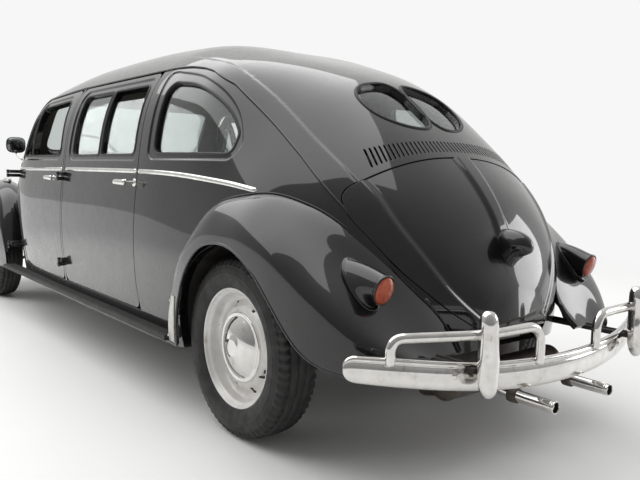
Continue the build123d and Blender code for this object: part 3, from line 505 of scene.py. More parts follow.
def patch(name, point, outer, holes=(), spacing=18.0, depth=30.0, mats=("paint", "trim"), body="body",
    along=(), flip=False, hem=HEM):
    """A panel inside an outline on a surface, with hemmed edges, a back skin and the holes cut."""
    outer = turned(thinned(outer))
    loops = [outer] + [turned(thinned(h), False) for h in holes]
    low, high = outer.min(0), outer.max(0)
    row = spacing * math.sqrt(3) / 2
    grid = [
        (u + (k % 2) * spacing / 2, v)
        for k, v in enumerate(np.arange(low[1] + row / 2, high[1], row))
        for u in np.arange(low[0], high[0], spacing)
    ]
    fill = np.array(grid)
    fine = np.vstack([np.asarray(a, float) for a in along]) if len(along) else np.zeros((0, 2))
    if len(fine):
        fill = np.vstack([fine, fill[nearest(fill, fine) > spacing * 0.45]])
    keep = inside(fill, outer) & (nearest(fill, outer) > spacing * 0.4)
    for h in loops[1:]:
        keep &= ~inside(fill, h)
        near = np.all((fill > h.min(0) - spacing) & (fill < h.max(0) + spacing), axis=1) & keep
        keep[near] &= nearest(fill[near], h) > min(spacing * 0.4, 5.0)
    fill = fill[keep]
    border = np.vstack(loops)
    points = np.vstack([border, fill])
    edges, start = [], 0
    for h in loops:
        n = len(h)
        edges += [(start + i, start + (i + 1) % n) for i in range(n)]
        start += n
    made = delaunay_2d_cdt([Vector(p) for p in points], edges, [], 0, 1e-4)
    flat, triangles, origin = np.array([tuple(p) for p in made[0]]), made[2], made[3]
    triangles = np.array([f for f in triangles if len(f) == 3])
    centre = flat[triangles].mean(1)
    keep = inside(centre, outer)
    for h in loops[1:]:
        keep &= ~inside(centre, h)
    triangles = triangles[keep]
    a, b, c = flat[triangles[:, 0]], flat[triangles[:, 1]], flat[triangles[:, 2]]
    back = (b[:, 0] - a[:, 0]) * (c[:, 1] - a[:, 1]) - (c[:, 0] - a[:, 0]) * (b[:, 1] - a[:, 1]) < 0
    triangles[back] = triangles[back][:, ::-1]
    where = {}
    for k, olds in enumerate(origin):
        for o in olds:
            where[o] = k
    p = point(flat)
    n = normals_of(point, flat)
    if flip:
        n = -n
    verts, norms = [p], [n]
    faces = [tuple(t) for t in (triangles if not flip else triangles[:, ::-1])]
    kinds = [0] * len(faces)
    total = len(p)
    back_of = total + np.arange(len(p))
    verts.append(p - n * depth)
    norms.append(-n)
    faces += [tuple(back_of[t[::-1]]) for t in (triangles if not flip else triangles[:, ::-1])]
    kinds += [1] * (len(faces) - len(kinds))
    total *= 2
    start = 0
    for h in loops:
        ring = np.array([where[start + i] for i in range(len(h))])
        ring = ring[ring != np.roll(ring, 1)]
        start += len(h)
        q, m = p[ring], n[ring]
        t = np.roll(q, -1, 0) - np.roll(q, 1, 0)
        t /= np.linalg.norm(t, axis=1)[:, None] + 1e-12
        out = np.cross(t, m)
        if flip:
            out = -out
        rings = [ring]
        for away, down, turn in list(hem[1:]) + [(hem[-1][0], depth - 1.0, 90), (0.0, depth, 90)]:
            k = math.radians(turn)
            verts.append(q + out * away - m * down)
            norms.append(m * math.cos(k) + out * math.sin(k))
            rings.append(total + np.arange(len(ring)))
            total += len(ring)
        rings.append(back_of[ring])
        for r0, r1 in zip(rings, rings[1:]):
            a, b, c, d = r0, np.roll(r0, -1), np.roll(r1, -1), r1
            quads = np.stack([a, d, c, b] if not flip else [a, b, c, d], 1)
            faces += [tuple(f) for f in quads]
            kinds += [0] * len(quads)
    return add_object(name, shifted(np.vstack(verts)), faces, mats, body, np.vstack(norms), kinds)


def mirrored(obj, name, body=None):
    """A copy of a left piece on the right."""
    mesh = obj.data
    verts = [(-v.co.x, v.co.y, v.co.z) for v in mesh.vertices]
    faces = [tuple(reversed(f.vertices)) for f in mesh.polygons]
    normals = None
    if mesh.has_custom_normals:
        normals = np.zeros((len(verts), 3))
        for loop, corner in zip(mesh.loops, mesh.corner_normals):
            normals[loop.vertex_index] = corner.vector
        normals *= (-1, 1, 1)
    mats = [k for m in mesh.materials for k, v in MATERIALS.items() if v == m]
    body = body or body_of(obj)[0]
    return add_object(name, verts, faces, mats, body, normals, [f.material_index for f in mesh.polygons])

# Materials


class Shade:
    """A node material built step by step around one Principled shader."""

    def __init__(self, name, **sockets):
        self.mat = bpy.data.materials.new(name)
        self.mat.use_nodes = True
        self.tree = self.mat.node_tree
        self.bsdf = self.tree.nodes["Principled BSDF"]
        for key, value in sockets.items():
            label = key.replace("_", " ").capitalize() if "__" not in key else key.replace("__", " ")
            for socket in self.bsdf.inputs:
                if socket.name.lower() == label.lower():
                    socket.default_value = (*value, 1) if isinstance(value,
                        tuple) and len(value) == 3 else value
        MATERIALS[name] = self.mat

    def node(self, kind, **settings):
        n = self.tree.nodes.new(kind)
        for key, value in settings.items():
            setattr(n, key, value)
        return n

    def wire(self, a, b):
        self.tree.links.new(a, b)
        return self

    def place(self, scale=(1, 1, 1)):
        """Object coordinates in metres, scaled."""
        at = self.node("ShaderNodeTexCoord")
        out = self.node("ShaderNodeMapping")
        out.inputs["Scale"].default_value = scale
        self.wire(at.outputs["Object"], out.inputs["Vector"])
        return out.outputs[0]

    def noise(self, scale, detail=3.0, rough=0.5, stretch=(1, 1, 1)):
        n = self.node("ShaderNodeTexNoise")
        n.inputs["Scale"].default_value = scale
        n.inputs["Detail"].default_value = detail
        n.inputs["Roughness"].default_value = rough
        self.wire(self.place(stretch), n.inputs["Vector"])
        return n.outputs["Fac"]

    def ramp(self, fac, *stops):
        """Colours or greys at places along a factor."""
        r = self.node("ShaderNodeValToRGB")
        while len(r.color_ramp.elements) < len(stops):
            r.color_ramp.elements.new(0.5)
        for element, (at, value) in zip(r.color_ramp.elements, stops):
            element.position = at
            element.color = (*value, 1) if isinstance(value, tuple) else (value, value, value, 1)
        self.wire(fac, r.inputs["Fac"])
        return r.outputs["Color"]

    def set(self, socket, out):
        return self.wire(out, self.bsdf.inputs[socket])

    def bump(self, height, strength, distance):
        b = self.node("ShaderNodeBump")
        b.inputs["Strength"].default_value = strength
        b.inputs["Distance"].default_value = distance
        self.wire(height, b.inputs["Height"])
        last = self.bsdf.inputs["Normal"]
        if last.is_linked:
            self.wire(last.links[0].from_socket, b.inputs["Normal"])
        self.wire(b.outputs[0], last)
        return self

    def tint(self, pattern, *stops):
        return self.set("Base Color", self.ramp(pattern, *stops))

    def rough(self, pattern, *stops):
        return self.set("Roughness", self.ramp(pattern, *stops))


def make_materials():
    paint = Shade("paint", roughness=0.3, ior=1.5, specular__IOR__level=0.12, coat_weight=1.0,
        coat_roughness=0.035, coat_ior=1.55)
    patch_ = paint.noise(3.0, 5, 0.6)
    paint.tint(patch_, (0.35, (0.0045, 0.0045, 0.005)), (0.7, (0.011, 0.011, 0.0115)))
    paint.rough(paint.noise(14.0, 6, 0.7), (0.3, 0.24), (0.75, 0.42))
    paint.bump(paint.noise(170.0, 2, 0.5), 0.02, 0.0003)

    trim = Shade("trim", roughness=0.85)
    trim.tint(trim.noise(60, 4), (0.3, (0.16, 0.15, 0.13)), (0.7, (0.22, 0.205, 0.18)))
    trim.bump(trim.noise(900, 2), 0.25, 0.0006)

    dark = Shade("dark", roughness=0.7)
    dark.tint(dark.noise(30, 4), (0.3, (0.008, 0.008, 0.008)), (0.7, (0.02, 0.019, 0.018)))
    dark.bump(dark.noise(300, 3), 0.3, 0.0006)

    chassis = Shade("chassis", roughness=0.55)
    grime = chassis.noise(9, 6, 0.7)
    chassis.tint(grime, (0.35, (0.012, 0.012, 0.012)), (0.62, (0.035, 0.03, 0.026)),
        (0.8, (0.07, 0.055, 0.042)))
    chassis.rough(grime, (0.3, 0.45), (0.7, 0.8))
    chassis.bump(chassis.noise(220, 4), 0.3, 0.0008)

    chrome = Shade("chrome", metallic=1.0, roughness=0.08)
    stain = chrome.noise(16, 8, 0.72)
    chrome.tint(stain, (0.3, (0.78, 0.77, 0.75)), (0.58, (0.66, 0.645, 0.62)), (0.72, (0.4, 0.36, 0.31)))
    chrome.rough(chrome.noise(23, 7, 0.7), (0.35, 0.06), (0.6, 0.13), (0.78, 0.42))
    chrome.bump(chrome.noise(420, 3), 0.06, 0.0004)

    bright = Shade("bright", metallic=1.0, roughness=0.07)
    bright.tint(bright.noise(20, 5), (0.3, (0.82, 0.82, 0.8)), (0.75, (0.66, 0.65, 0.62)))
    bright.rough(bright.noise(40, 5), (0.35, 0.06), (0.75, 0.2))

    mirror = Shade("dark_mirror", metallic=1.0, roughness=0.05)
    mirror.tint(mirror.noise(9, 4), (0.3, (0.16, 0.165, 0.17)), (0.7, (0.2, 0.205, 0.21)))

    pale = Shade("pale_strip", roughness=0.35, metallic=0.15)
    pale.tint(pale.noise(25, 6, 0.7), (0.35, (0.66, 0.65, 0.62)), (0.68, (0.5, 0.48, 0.44)),
        (0.8, (0.2, 0.13, 0.08)))
    pale.rough(pale.noise(60, 4), (0.3, 0.25), (0.7, 0.5))

    wheel = Shade("wheel_paint", roughness=0.32, metallic=0.35)
    dirt = wheel.noise(12, 7, 0.7)
    wheel.tint(dirt, (0.4, (0.74, 0.735, 0.72)), (0.62, (0.66, 0.64, 0.61)), (0.78, (0.32, 0.25, 0.19)))
    wheel.rough(dirt, (0.35, 0.27), (0.7, 0.6))
    wheel.bump(wheel.noise(180, 3), 0.1, 0.0005)

    tyre = Shade("tyre", roughness=0.62)
    tyre.tint(tyre.noise(18, 5), (0.35, (0.012, 0.012, 0.012)), (0.7, (0.026, 0.025, 0.024)))
    tyre.rough(tyre.noise(30, 4), (0.3, 0.5), (0.7, 0.75))
    tyre.bump(tyre.noise(500, 3), 0.2, 0.0006)

    rubber = Shade("rubber", roughness=0.5)
    rubber.tint(rubber.noise(40, 4), (0.3, (0.012, 0.012, 0.012)), (0.7, (0.022, 0.022, 0.021)))
    rubber.bump(rubber.noise(600, 2), 0.15, 0.0004)

    glass = Shade("glass", roughness=0.02, ior=1.45, transmission_weight=1.0)
    glass.bsdf.inputs["Base Color"].default_value = (0.6, 0.64, 0.625, 1)
    glass.rough(glass.noise(5, 3), (0.3, 0.0), (0.8, 0.04))

    lens = Shade("red_lens", roughness=0.12, ior=1.49, coat_weight=0.6, coat_roughness=0.05)
    lens.tint(lens.noise(50, 2), (0.3, (0.42, 0.06, 0.02)), (0.7, (0.56, 0.1, 0.035)))
    ribs = lens.node("ShaderNodeTexWave", wave_type="BANDS", bands_direction="Z")
    ribs.inputs["Scale"].default_value = 190
    lens.wire(lens.place(), ribs.inputs["Vector"])
    lens.bump(ribs.outputs["Fac"], 0.35, 0.0012)

    clear = Shade("clear_lens", roughness=0.05, ior=1.45, transmission_weight=0.9)
    clear.bsdf.inputs["Base Color"].default_value = (0.86, 0.87, 0.86, 1)
    flutes = clear.node("ShaderNodeTexWave", wave_type="BANDS", bands_direction="X")
    flutes.inputs["Scale"].default_value = 60
    clear.wire(clear.place(), flutes.inputs["Vector"])
    clear.bump(flutes.outputs["Fac"], 0.3, 0.0015)

    cloth = Shade("cloth", roughness=0.9, sheen_weight=0.35)
    warp = cloth.node("ShaderNodeTexWave", wave_type="BANDS", bands_direction="X")
    weft = cloth.node("ShaderNodeTexWave", wave_type="BANDS", bands_direction="Y")
    both = cloth.node("ShaderNodeMath", operation="MAXIMUM")
    for k, wave in enumerate((warp, weft)):
        wave.inputs["Scale"].default_value = 110
        wave.inputs["Distortion"].default_value = 1.5
        cloth.wire(cloth.place(), wave.inputs["Vector"])
        cloth.wire(wave.outputs["Fac"], both.inputs[k])
    cloth.tint(cloth.noise(14, 5), (0.3, (0.19, 0.175, 0.155)), (0.7, (0.28, 0.26, 0.23)))
    cloth.bump(both.outputs[0], 0.4, 0.0012)

    plastic = Shade("plastic", roughness=0.22)
    plastic.tint(plastic.noise(12, 3), (0.3, (0.01, 0.01, 0.01)), (0.7, (0.017, 0.017, 0.016)))
    plastic.bump(plastic.noise(350, 2), 0.06, 0.0003)

    metal = Shade("cast_metal", metallic=0.9, roughness=0.5)
    metal.tint(metal.noise(20, 6), (0.3, (0.3, 0.29, 0.28)), (0.75, (0.16, 0.14, 0.12)))
    metal.bump(metal.noise(260, 5), 0.4, 0.001)

    board = Shade("board_rubber", roughness=0.6)
    board.tint(board.noise(15, 6, 0.7), (0.35, (0.014, 0.014, 0.014)), (0.75, (0.045, 0.043, 0.04)))
    board.bump(board.noise(400, 3), 0.25, 0.0006)

    skin = Shade("exhaust_skin", metallic=0.7, roughness=0.5)
    heat = skin.noise(11, 7, 0.7)
    skin.tint(heat, (0.35, (0.11, 0.1, 0.09)), (0.6, (0.06, 0.045, 0.035)), (0.78, (0.13, 0.06, 0.03)))
    skin.bump(skin.noise(240, 4), 0.35, 0.0008)

    floor = Shade("studio_floor", roughness=0.5)
    floor.tint(floor.noise(0.7, 5), (0.3, (0.90, 0.90, 0.89)), (0.7, (0.94, 0.94, 0.93)))
    # Away from the car the floor runs into the white surround for the camera, metal and glass
    reach = floor.node("ShaderNodeVectorMath", operation="LENGTH")
    floor.wire(floor.place(), reach.inputs[0])
    far = floor.node("ShaderNodeMapRange", interpolation_type="SMOOTHSTEP")
    far.inputs["From Min"].default_value, far.inputs["From Max"].default_value = 2.4, 6.5
    floor.wire(reach.outputs["Value"], far.inputs["Value"])
    path = floor.node("ShaderNodeLightPath")
    rays = path.outputs["Is Camera Ray"]
    for other in ("Is Glossy Ray", "Is Transmission Ray"):
        either = floor.node("ShaderNodeMath", operation="MAXIMUM")
        floor.wire(rays, either.inputs[0])
        floor.wire(path.outputs[other], either.inputs[1])
        rays = either.outputs[0]
    share = floor.node("ShaderNodeMath", operation="MULTIPLY")
    floor.wire(far.outputs["Result"], share.inputs[0])
    floor.wire(rays, share.inputs[1])
    glow = floor.node("ShaderNodeEmission")
    glow.inputs["Color"].default_value = (0.93, 0.93, 0.93, 1)
    blend = floor.node("ShaderNodeMixShader")
    floor.wire(share.outputs[0], blend.inputs["Fac"])
    floor.wire(floor.bsdf.outputs[0], blend.inputs[1])
    floor.wire(glow.outputs[0], blend.inputs[2])
    floor.wire(blend.outputs[0], floor.tree.nodes["Material Output"].inputs["Surface"])


make_materials()

# Studio: a pale floor, an even white surround and three soft lamps


def make_studio():
    size, height = 60.0, -0.0005
    verts = [(-size, -size, height), (size, -size, height), (size, size, height), (-size, size, height)]
    add_object("studio_floor", verts, [(0, 1, 2, 3)], "studio_floor", None)
    world = bpy.data.worlds.new("studio")
    bpy.context.scene.world = world
    world.use_nodes = True
    tree = world.node_tree
    back = tree.nodes["Background"]
    at = tree.nodes.new("ShaderNodeTexCoord")
    split = tree.nodes.new("ShaderNodeSeparateXYZ")
    ramp = tree.nodes.new("ShaderNodeValToRGB")
    stops = ((0.0, 0.62), (0.12, 0.72), (0.4, 0.86), (1.0, 1.0))
    while len(ramp.color_ramp.elements) < len(stops):
        ramp.color_ramp.elements.new(0.5)
    for element, (place, value) in zip(ramp.color_ramp.elements, stops):
        element.position, element.color = place, (value, value, value * 0.99, 1)
    tree.links.new(at.outputs["Generated"], split.inputs[0])
    tree.links.new(split.outputs["Z"], ramp.inputs["Fac"])
    # The open side of the studio is darker than its walls
    lean = tree.nodes.new("ShaderNodeVectorMath")
    lean.operation = "DOT_PRODUCT"
    lean.inputs[1].default_value = (0.66, 0.75, 0.0)
    dim = tree.nodes.new("ShaderNodeMapRange")
    dim.interpolation_type = "SMOOTHSTEP"
    dim.inputs["From Min"].default_value, dim.inputs["From Max"].default_value = -0.9, 0.85
    dim.inputs["To Min"].default_value, dim.inputs["To Max"].default_value = 1.35, 0.5
    scale = tree.nodes.new("ShaderNodeVectorMath")
    scale.operation = "SCALE"
    tree.links.new(at.outputs["Generated"], lean.inputs[0])
    tree.links.new(lean.outputs["Value"], dim.inputs["Value"])
    tree.links.new(ramp.outputs["Color"], scale.inputs[0])
    tree.links.new(dim.outputs["Result"], scale.inputs["Scale"])
    tree.links.new(scale.outputs[0], back.inputs["Color"])
    back.inputs["Strength"].default_value = 0.72
    ray = tree.nodes.new("ShaderNodeLightPath")
    seen = tree.nodes.new("ShaderNodeMath")
    seen.operation = "MAXIMUM"
    seen.use_clamp = True
    mix = tree.nodes.new("ShaderNodeMixShader")
    white = tree.nodes.new("ShaderNodeBackground")
    white.inputs["Color"].default_value = (0.93, 0.93, 0.93, 1)
    tree.links.new(ray.outputs["Is Camera Ray"], seen.inputs[0])
    tree.links.new(ray.outputs["Is Transmission Ray"], seen.inputs[1])
    tree.links.new(seen.outputs[0], mix.inputs["Fac"])
    tree.links.new(back.outputs[0], mix.inputs[1])
    tree.links.new(white.outputs[0], mix.inputs[2])
    tree.links.new(mix.outputs[0], tree.nodes["World Output"].inputs["Surface"])
    lamps = (
        ("top_lamp", (1.0, -1.0, 5.2), (0, -0.4, 0.4), (7.0, 8.0), 300.0),
        ("side_lamp", (5.5, -9.0, 3.6), (0, -1.0, 0.6), (6.0, 4.0), 420.0),
        ("far_lamp", (-7.0, 5.0, 2.6), (0, 1.8, 0.8), (3.0, 3.0), 110.0),
    )
    for name, place, aim, size, power in lamps:
        lamp = bpy.data.lights.new(name, "AREA")
        lamp.shape, lamp.size, lamp.size_y, lamp.energy = "RECTANGLE", size[0], size[1], power
        obj = bpy.data.objects.new(name, lamp)
        obj.visible_glossy = name != "side_lamp"
        obj.location = place
        obj.rotation_euler = (Vector(aim) - Vector(place)).to_track_quat("-Z", "Y").to_euler()
        bpy.context.scene.collection.objects.link(obj)
    scene = bpy.context.scene
    scene.view_settings.view_transform = "Standard"


def make_camera():
    place = Vector((1934.8, 2024.0, 928.6)) * MM + Vector((0, REAR_Y * MM, 0))
    yaw, pitch, roll = math.radians(-38.489), math.radians(5.563), math.radians(1.347)
    ahead = Vector((math.sin(yaw) * math.cos(pitch), -math.cos(yaw) * math.cos(pitch), -math.sin(pitch)))
    level = ahead.cross(Vector((0, 0, 1))).normalized()
    up = level.cross(ahead)
    right = math.cos(roll) * level + math.sin(roll) * up
    up = -math.sin(roll) * level + math.cos(roll) * up
    data = bpy.data.cameras.new("camera")
    data.sensor_width, data.lens = 36.0, 693.77 / 640 * 36
    obj = bpy.data.objects.new("camera", data)
    turn = Matrix((right, up, -ahead)).transposed()
    obj.matrix_world = Matrix.Translation(place) @ turn.to_4x4()
    bpy.context.scene.collection.objects.link(obj)
    bpy.context.scene.camera = obj


make_studio()
make_camera()

# Outlines, in mm from the rear axle: seen from the side as (y, z), from the rear as (x, z)
DOOR_GAP = 6.0
FRONT_DOOR = [(-2610, 400), (-2550, 334), (-1680, 334), (-1680, 1332), (-2250, 1312), (-2385, 1238),
    (-2610, 905)]
REAR_DOOR = [(-1650, 334), (-722, 334), (-742, 420), (-742, 1333), (-1650, 1333)]
QUARTER_WINDOW = [(-620, 988), (-110, 988), (-110, 1070), (-175, 1145), (-290, 1220), (-430, 1268),
    (-620, 1288)]
SCREEN = [(-545, 1032), (545, 1032), (520, 1335), (-520, 1335)]
REAR_PANE = [(24, 1106), (24, 1264), (110, 1272), (190, 1252), (240, 1210), (240, 1160), (180, 1112),
    (90, 1094)]
DRIP_REAR = [(-736, 1342), (-640, 1343), (-530, 1339), (-440, 1326), (-368, 1308), (-228, 1246), (-133, 1179),
    (0, 1084), (140, 982), (269, 880), (358, 807)]
LID_HALF = [(172, 440), (223, 469), (291, 516), (346, 566), (393, 613), (434, 666), (472, 731), (503, 807),
    (492, 858), (441, 897), (364, 931), (247, 966), (104, 987), (0, 990)]


def smooth_loop(points, spacing=8.0):
    return resampled(spline(points, 400, closed=True), spacing)


def both_halves(half):
    """A loop from its left half, first and last points near the middle."""
    return list(half) + [(-x, z) for x, z in reversed(half) if x > 1]


RIDGE = spline([(519, -620), (519, -504), (510, -349), (499, -209), (479, -77), (471, 62), (463, 190),
    (441, 343), (430, 400)], 200)


def roof_relief(p, uv):
    """A raised band each side of the roof and tail, from the drip rail to a crease."""
    off = np.abs(p[:, 0]) - np.interp(p[:, 1], RIDGE[:, 1], RIDGE[:, 0])
    fade = step(p[:, 1], -760, -380)
    return 5.5 * step(off, -9, 9) * fade


RIB = spline([(440, 930), (424, 889), (406, 798), (358, 686), (288, 577), (187, 479), (150, 448)], 200)


def spine_half(z):
    """Half the width of the engine lid's spine at a height."""
    return np.interp(z, (440, 640, 780, 985), (60, 44, 36, 47))


def lid_relief(p, uv):
    """Ribs down the engine lid: a raised margin each side and a spine between two creases."""
    x, z = np.abs(p[:, 0]), p[:, 2]
    edge = np.interp(z, RIB[::-1, 1], RIB[::-1, 0])
    margin = 9.0 * step(x - edge, -26, 10)
    half = spine_half(z)
    spine = 10.0 * (1 - step(x, half - 22, half + 8)) * step(z, 600, 800)
    return margin + spine - 3.0


roof_point = raised(BODY, roof_relief)
lid_point = raised(BODY, lid_relief)
# How far the pressing under the luggage lid stands off the tray that carries it
NOSE_PROUD = 2.5
plain_point = raised(BODY, None)
nose_point = raised(NOSE, lambda p, uv: np.full(len(p), NOSE_PROUD))


def across(loop_left, skin=BODY):
    """A loop over the whole car from its left run, which goes from the front middle to the rear middle."""
    right = [(u, skin.girth - v) for u, v in reversed(loop_left)]
    return list(loop_left) + right


def make_upper_shell():
    drip = [tuple(p) for p in side_uv(BODY, DRIP_REAR)]
    front = [(-2616, 905), (-2388, 1246), (-2330, 1290), (-2252, 1318), (-1680, 1339)]
    left = [(-2755, GIRTH / 2), (-2755, 6.0), (-2616, 6.0)]
    left += [tuple(p) for p in side_uv(BODY, front)] + drip
    left += [tuple(p) for p in side_uv(BODY, [(392, 700), (440, 560)])] + [(560, 6.0), (648, 6.0)]
    lid = end_uv(BODY, grown(smooth_loop(both_halves(LID_HALF)), 4.0), 150, 654)
    edge = lid[(lid[:, 1] < GIRTH / 2) & (lid[:, 0] < 646)]
    gap = int(np.argmax(np.linalg.norm(np.roll(edge, -1, 0) - edge, axis=1)))
    edge = np.roll(edge, -gap - 1, 0)
    edge = edge if edge[0, 0] > edge[-1, 0] else edge[::-1]
    left += [(648, edge[0, 1])] + [tuple(p) for p in edge]
    outer = resampled(across(left), 9.0)
    screen = end_uv(BODY, rounded(SCREEN, 70), -2100, -2756)
    holes = [screen]
    for sign in (1, -1):
        loop = smooth_loop([(sign * x, z) for x, z in REAR_PANE], 6.0)
        holes.append(end_uv(BODY, loop, -200, 420))
    holes += [end_uv(BODY, s, 150, 430) for s in louvre_slots()]
    fine = [top_uv(BODY, np.stack([sign * (RIDGE[::4, 0] + off), RIDGE[::4, 1]], 1)) for sign in (1,
        -1) for off in (-9, -5, -1, 3, 7, 11)]
    shell = patch("upper_shell", roof_point, outer, holes, 19.0, 30.0, along=fine)
    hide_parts("cowl_panel", "roof_panel", "rear_panel", "rear_apron")
    return lid


def louvre_slots():
    """Slots side by side over the tail between the rear panes and the lid, seen from the rear."""
    slots = []
    for k in range(SLOTS):
        x = 364 * (2 * k / (SLOTS - 1) - 1)
        share = abs(x) / 364
        top = np.array((x, 1050 - 39 * share**2.6))
        bottom = np.array((x * 378 / 364, 1009 - 61 * share**2.4))
        along = (bottom - top) / np.linalg.norm(bottom - top)
        side = np.array((along[1], -along[0])) * 4.3
        slots.append(rounded([top - side, top + side, bottom + side, bottom - side], 4.0, 4.5))
    return slots


SLOTS = 42


# Swept and turned pieces


def grid_piece(name, rows, mats, body="body", wrap=False, cap=False, shift=True, face_mats=None):
    """A surface through rows of points in mm; wrap closes each row and cap closes the first and last."""
    rows = np.asarray(rows, float)
    n, m = rows.shape[:2]
    faces, kinds = [], []
    for i in range(n - 1):
        for j in range(m if wrap else m - 1):
            k = (j + 1) % m
            faces.append((i * m + j, i * m + k, (i + 1) * m + k, (i + 1) * m + j))
            kinds.append(face_mats(i, j) if face_mats else 0)
    if cap:
        faces += [tuple(range(m))[::-1], tuple((n - 1) * m + j for j in range(m))]
        kinds += [0, 0]
    verts = rows.reshape(-1, 3)
    return add_object(name, shifted(verts) if shift else verts * MM, faces, mats, body, None, kinds)


def turned_rows(profile, centre, axis=0, segments=96, wobble=None):
    """Rows of a turned piece whose profile is (radius, place along the axis) about a centre."""
    rows = []
    for k in range(segments):
        a = 2 * math.pi * k / segments
        ring = []
        for j, (r, w) in enumerate(profile):
            if wobble:
                r, w = wobble(a, j, r, w)
            ring.append((w, r * math.sin(a), r * math.cos(a)))
        rows.append(np.array(ring))
    rows = np.array(rows)
    if axis == 1:
        rows = rows[..., (1, 0, 2)]
    return rows + np.asarray(centre, float)


def turned_piece(name, profile, centre, mats, body="body", segments=96, face_mats=None, wobble=None,
    direction=None):
    rows = turned_rows(profile, (0, 0, 0), 0, segments, wobble)
    rows = np.vstack([rows, rows[:1]])
    if direction is not None:
        turn = np.array(Vector((1, 0, 0)).rotation_difference(Vector(direction)).to_matrix())
        rows = rows @ turn.T
    rows = rows + np.asarray(centre, float)
    obj = grid_piece(name, rows, mats, body, face_mats=face_mats)
    welded(obj)
    return obj


def welded(obj, reach=0.00002):
    import bmesh

    bm = bmesh.new()
    bm.from_mesh(obj.data)
    bmesh.ops.remove_doubles(bm, verts=bm.verts, dist=reach)
    bmesh.ops.recalc_face_normals(bm, faces=bm.faces)
    bm.to_mesh(obj.data)
    bm.free()
    return obj


def frames_along(path, closed=False, up=None):
    """Tangents and two cross directions along a path; up fixes the second, or it is carried along."""
    p = np.asarray(path, float)
    t = np.roll(p, -1, 0) - np.roll(p, 1, 0) if closed else np.gradient(p, axis=0)
    t /= np.linalg.norm(t, axis=1)[:, None] + 1e-12
    if up is not None:
        n = np.asarray(up, float) * np.ones_like(p)
        n = n - (n * t).sum(1)[:, None] * t
    else:
        n = np.zeros_like(p)
        first = np.array((0.0, 0.0, 1.0)) if abs(t[0][2]) < 0.9 else np.array((1.0, 0.0, 0.0))
        for i in range(len(p)):
            n[i] = first - (first @ t[i]) * t[i]
            n[i] /= np.linalg.norm(n[i]) + 1e-12
            first = n[i]
    n /= np.linalg.norm(n, axis=1)[:, None] + 1e-12
    return t, n, np.cross(t, n)


def swept(name, path, profile, mats, body="body", closed=False, up=None, cap=True):
    """A closed profile of (across, up) points in mm swept along a path; profile may change with place."""
    path = np.asarray(path, float)
    _, n, b = frames_along(path, closed, up)
    rows = []
    for i in range(len(path)):
        shape = np.asarray(profile(i / (len(path) - 1)) if callable(profile) else profile, float)
        rows.append(path[i] + shape[:, :1] * b[i] + shape[:, 1:] * n[i])
    if closed:
        rows.append(rows[0])
    obj = grid_piece(name, rows, mats, body, wrap=True, cap=cap and not closed)
    return welded(obj)


def circle(radius, count=12, flat=1.0):
    return [(radius * math.cos(a), flat * radius * math.sin(a)) for a in np.linspace(0, 2 * math.pi, count,
        endpoint=False)]


def tube(name, path, radius, mats, body="body", closed=False, count=12):
    """A round bar whose radius may change along it, with flat caps at its ends."""
    size = radius if callable(radius) else (lambda s: radius)
    return swept(name, path, lambda s: circle(size(s), count), mats, body, closed)


def soft_box(name, low, high, bevel, mats, body="body", segments=3, turn=None):
    """A block between two corners in mm with rounded edges."""
    import bmesh

    low, high = np.asarray(low, float), np.asarray(high, float)
    centre = (low + high) / 2
    bm = bmesh.new()
    bmesh.ops.create_cube(bm, size=1.0)
    bmesh.ops.scale(bm, vec=Vector((high - low) * MM), verts=bm.verts)
    bmesh.ops.bevel(bm, geom=list(bm.edges), offset=bevel * MM, segments=segments, affect="EDGES",
        profile=0.5)
    if turn is not None:
        bmesh.ops.transform(bm, matrix=turn, verts=bm.verts)
    bmesh.ops.translate(bm, vec=Vector(shifted([centre])[0]), verts=bm.verts)
    mesh = bpy.data.meshes.new(name)
    bm.to_mesh(mesh)
    bm.free()
    mesh.materials.append(MATERIALS[mats])
    mesh.polygons.foreach_set("use_smooth", np.full(len(mesh.polygons), True))
    obj = bpy.data.objects.new(name, mesh)
    bpy.context.scene.collection.objects.link(obj)
    mod = obj.modifiers.new("flat_faces", "WEIGHTED_NORMAL")
    mod.keep_sharp = True
    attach(obj, body)
    return obj


def joined(name, pieces):
    """One object of several that ride on the same body."""
    body = body_of(pieces[0])[0]
    verts, faces, kinds, mats = [], [], [], []
    for piece in pieces:
        mesh = piece.data
        slots = []
        for m in mesh.materials:
            if m not in mats:
                mats.append(m)
            slots.append(mats.index(m))
        start = len(verts)
        verts += [tuple(v.co) for v in mesh.vertices]
        faces += [tuple(start + i for i in f.vertices) for f in mesh.polygons]
        kinds += [slots[f.material_index] for f in mesh.polygons]
        bpy.data.objects.remove(piece)
    names = [k for m in mats for k, v in MATERIALS.items() if v == m]
    return add_object(name, verts, faces, names, body, None, kinds)


# Body panels


def make_engine_lid():
    loop = end_uv(BODY, smooth_loop(both_halves(LID_HALF)), 150, 654)
    zs = np.linspace(470, 960, 60)
    fine = []
    for sign in (1, -1):
        for off in (-26, -20, -14, -8, -2, 4, 10):
            pts = [(sign * (x + off), z) for x, z in RIB[::5] if 455 < z < 925]
            fine.append(end_uv(BODY, pts, 150, 654))
        for off in (-20, -12, -4, 4):
            pts = [(sign * (spine_half(z) + off), z) for z in zs if z > 620]
            fine.append(end_uv(BODY, pts, 150, 654))
    lid = patch("engine_lid_skin", lid_point, loop, (), 15.0, 26.0, ("paint", "dark"), "engine_lid", fine)
    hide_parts("engine_lid")


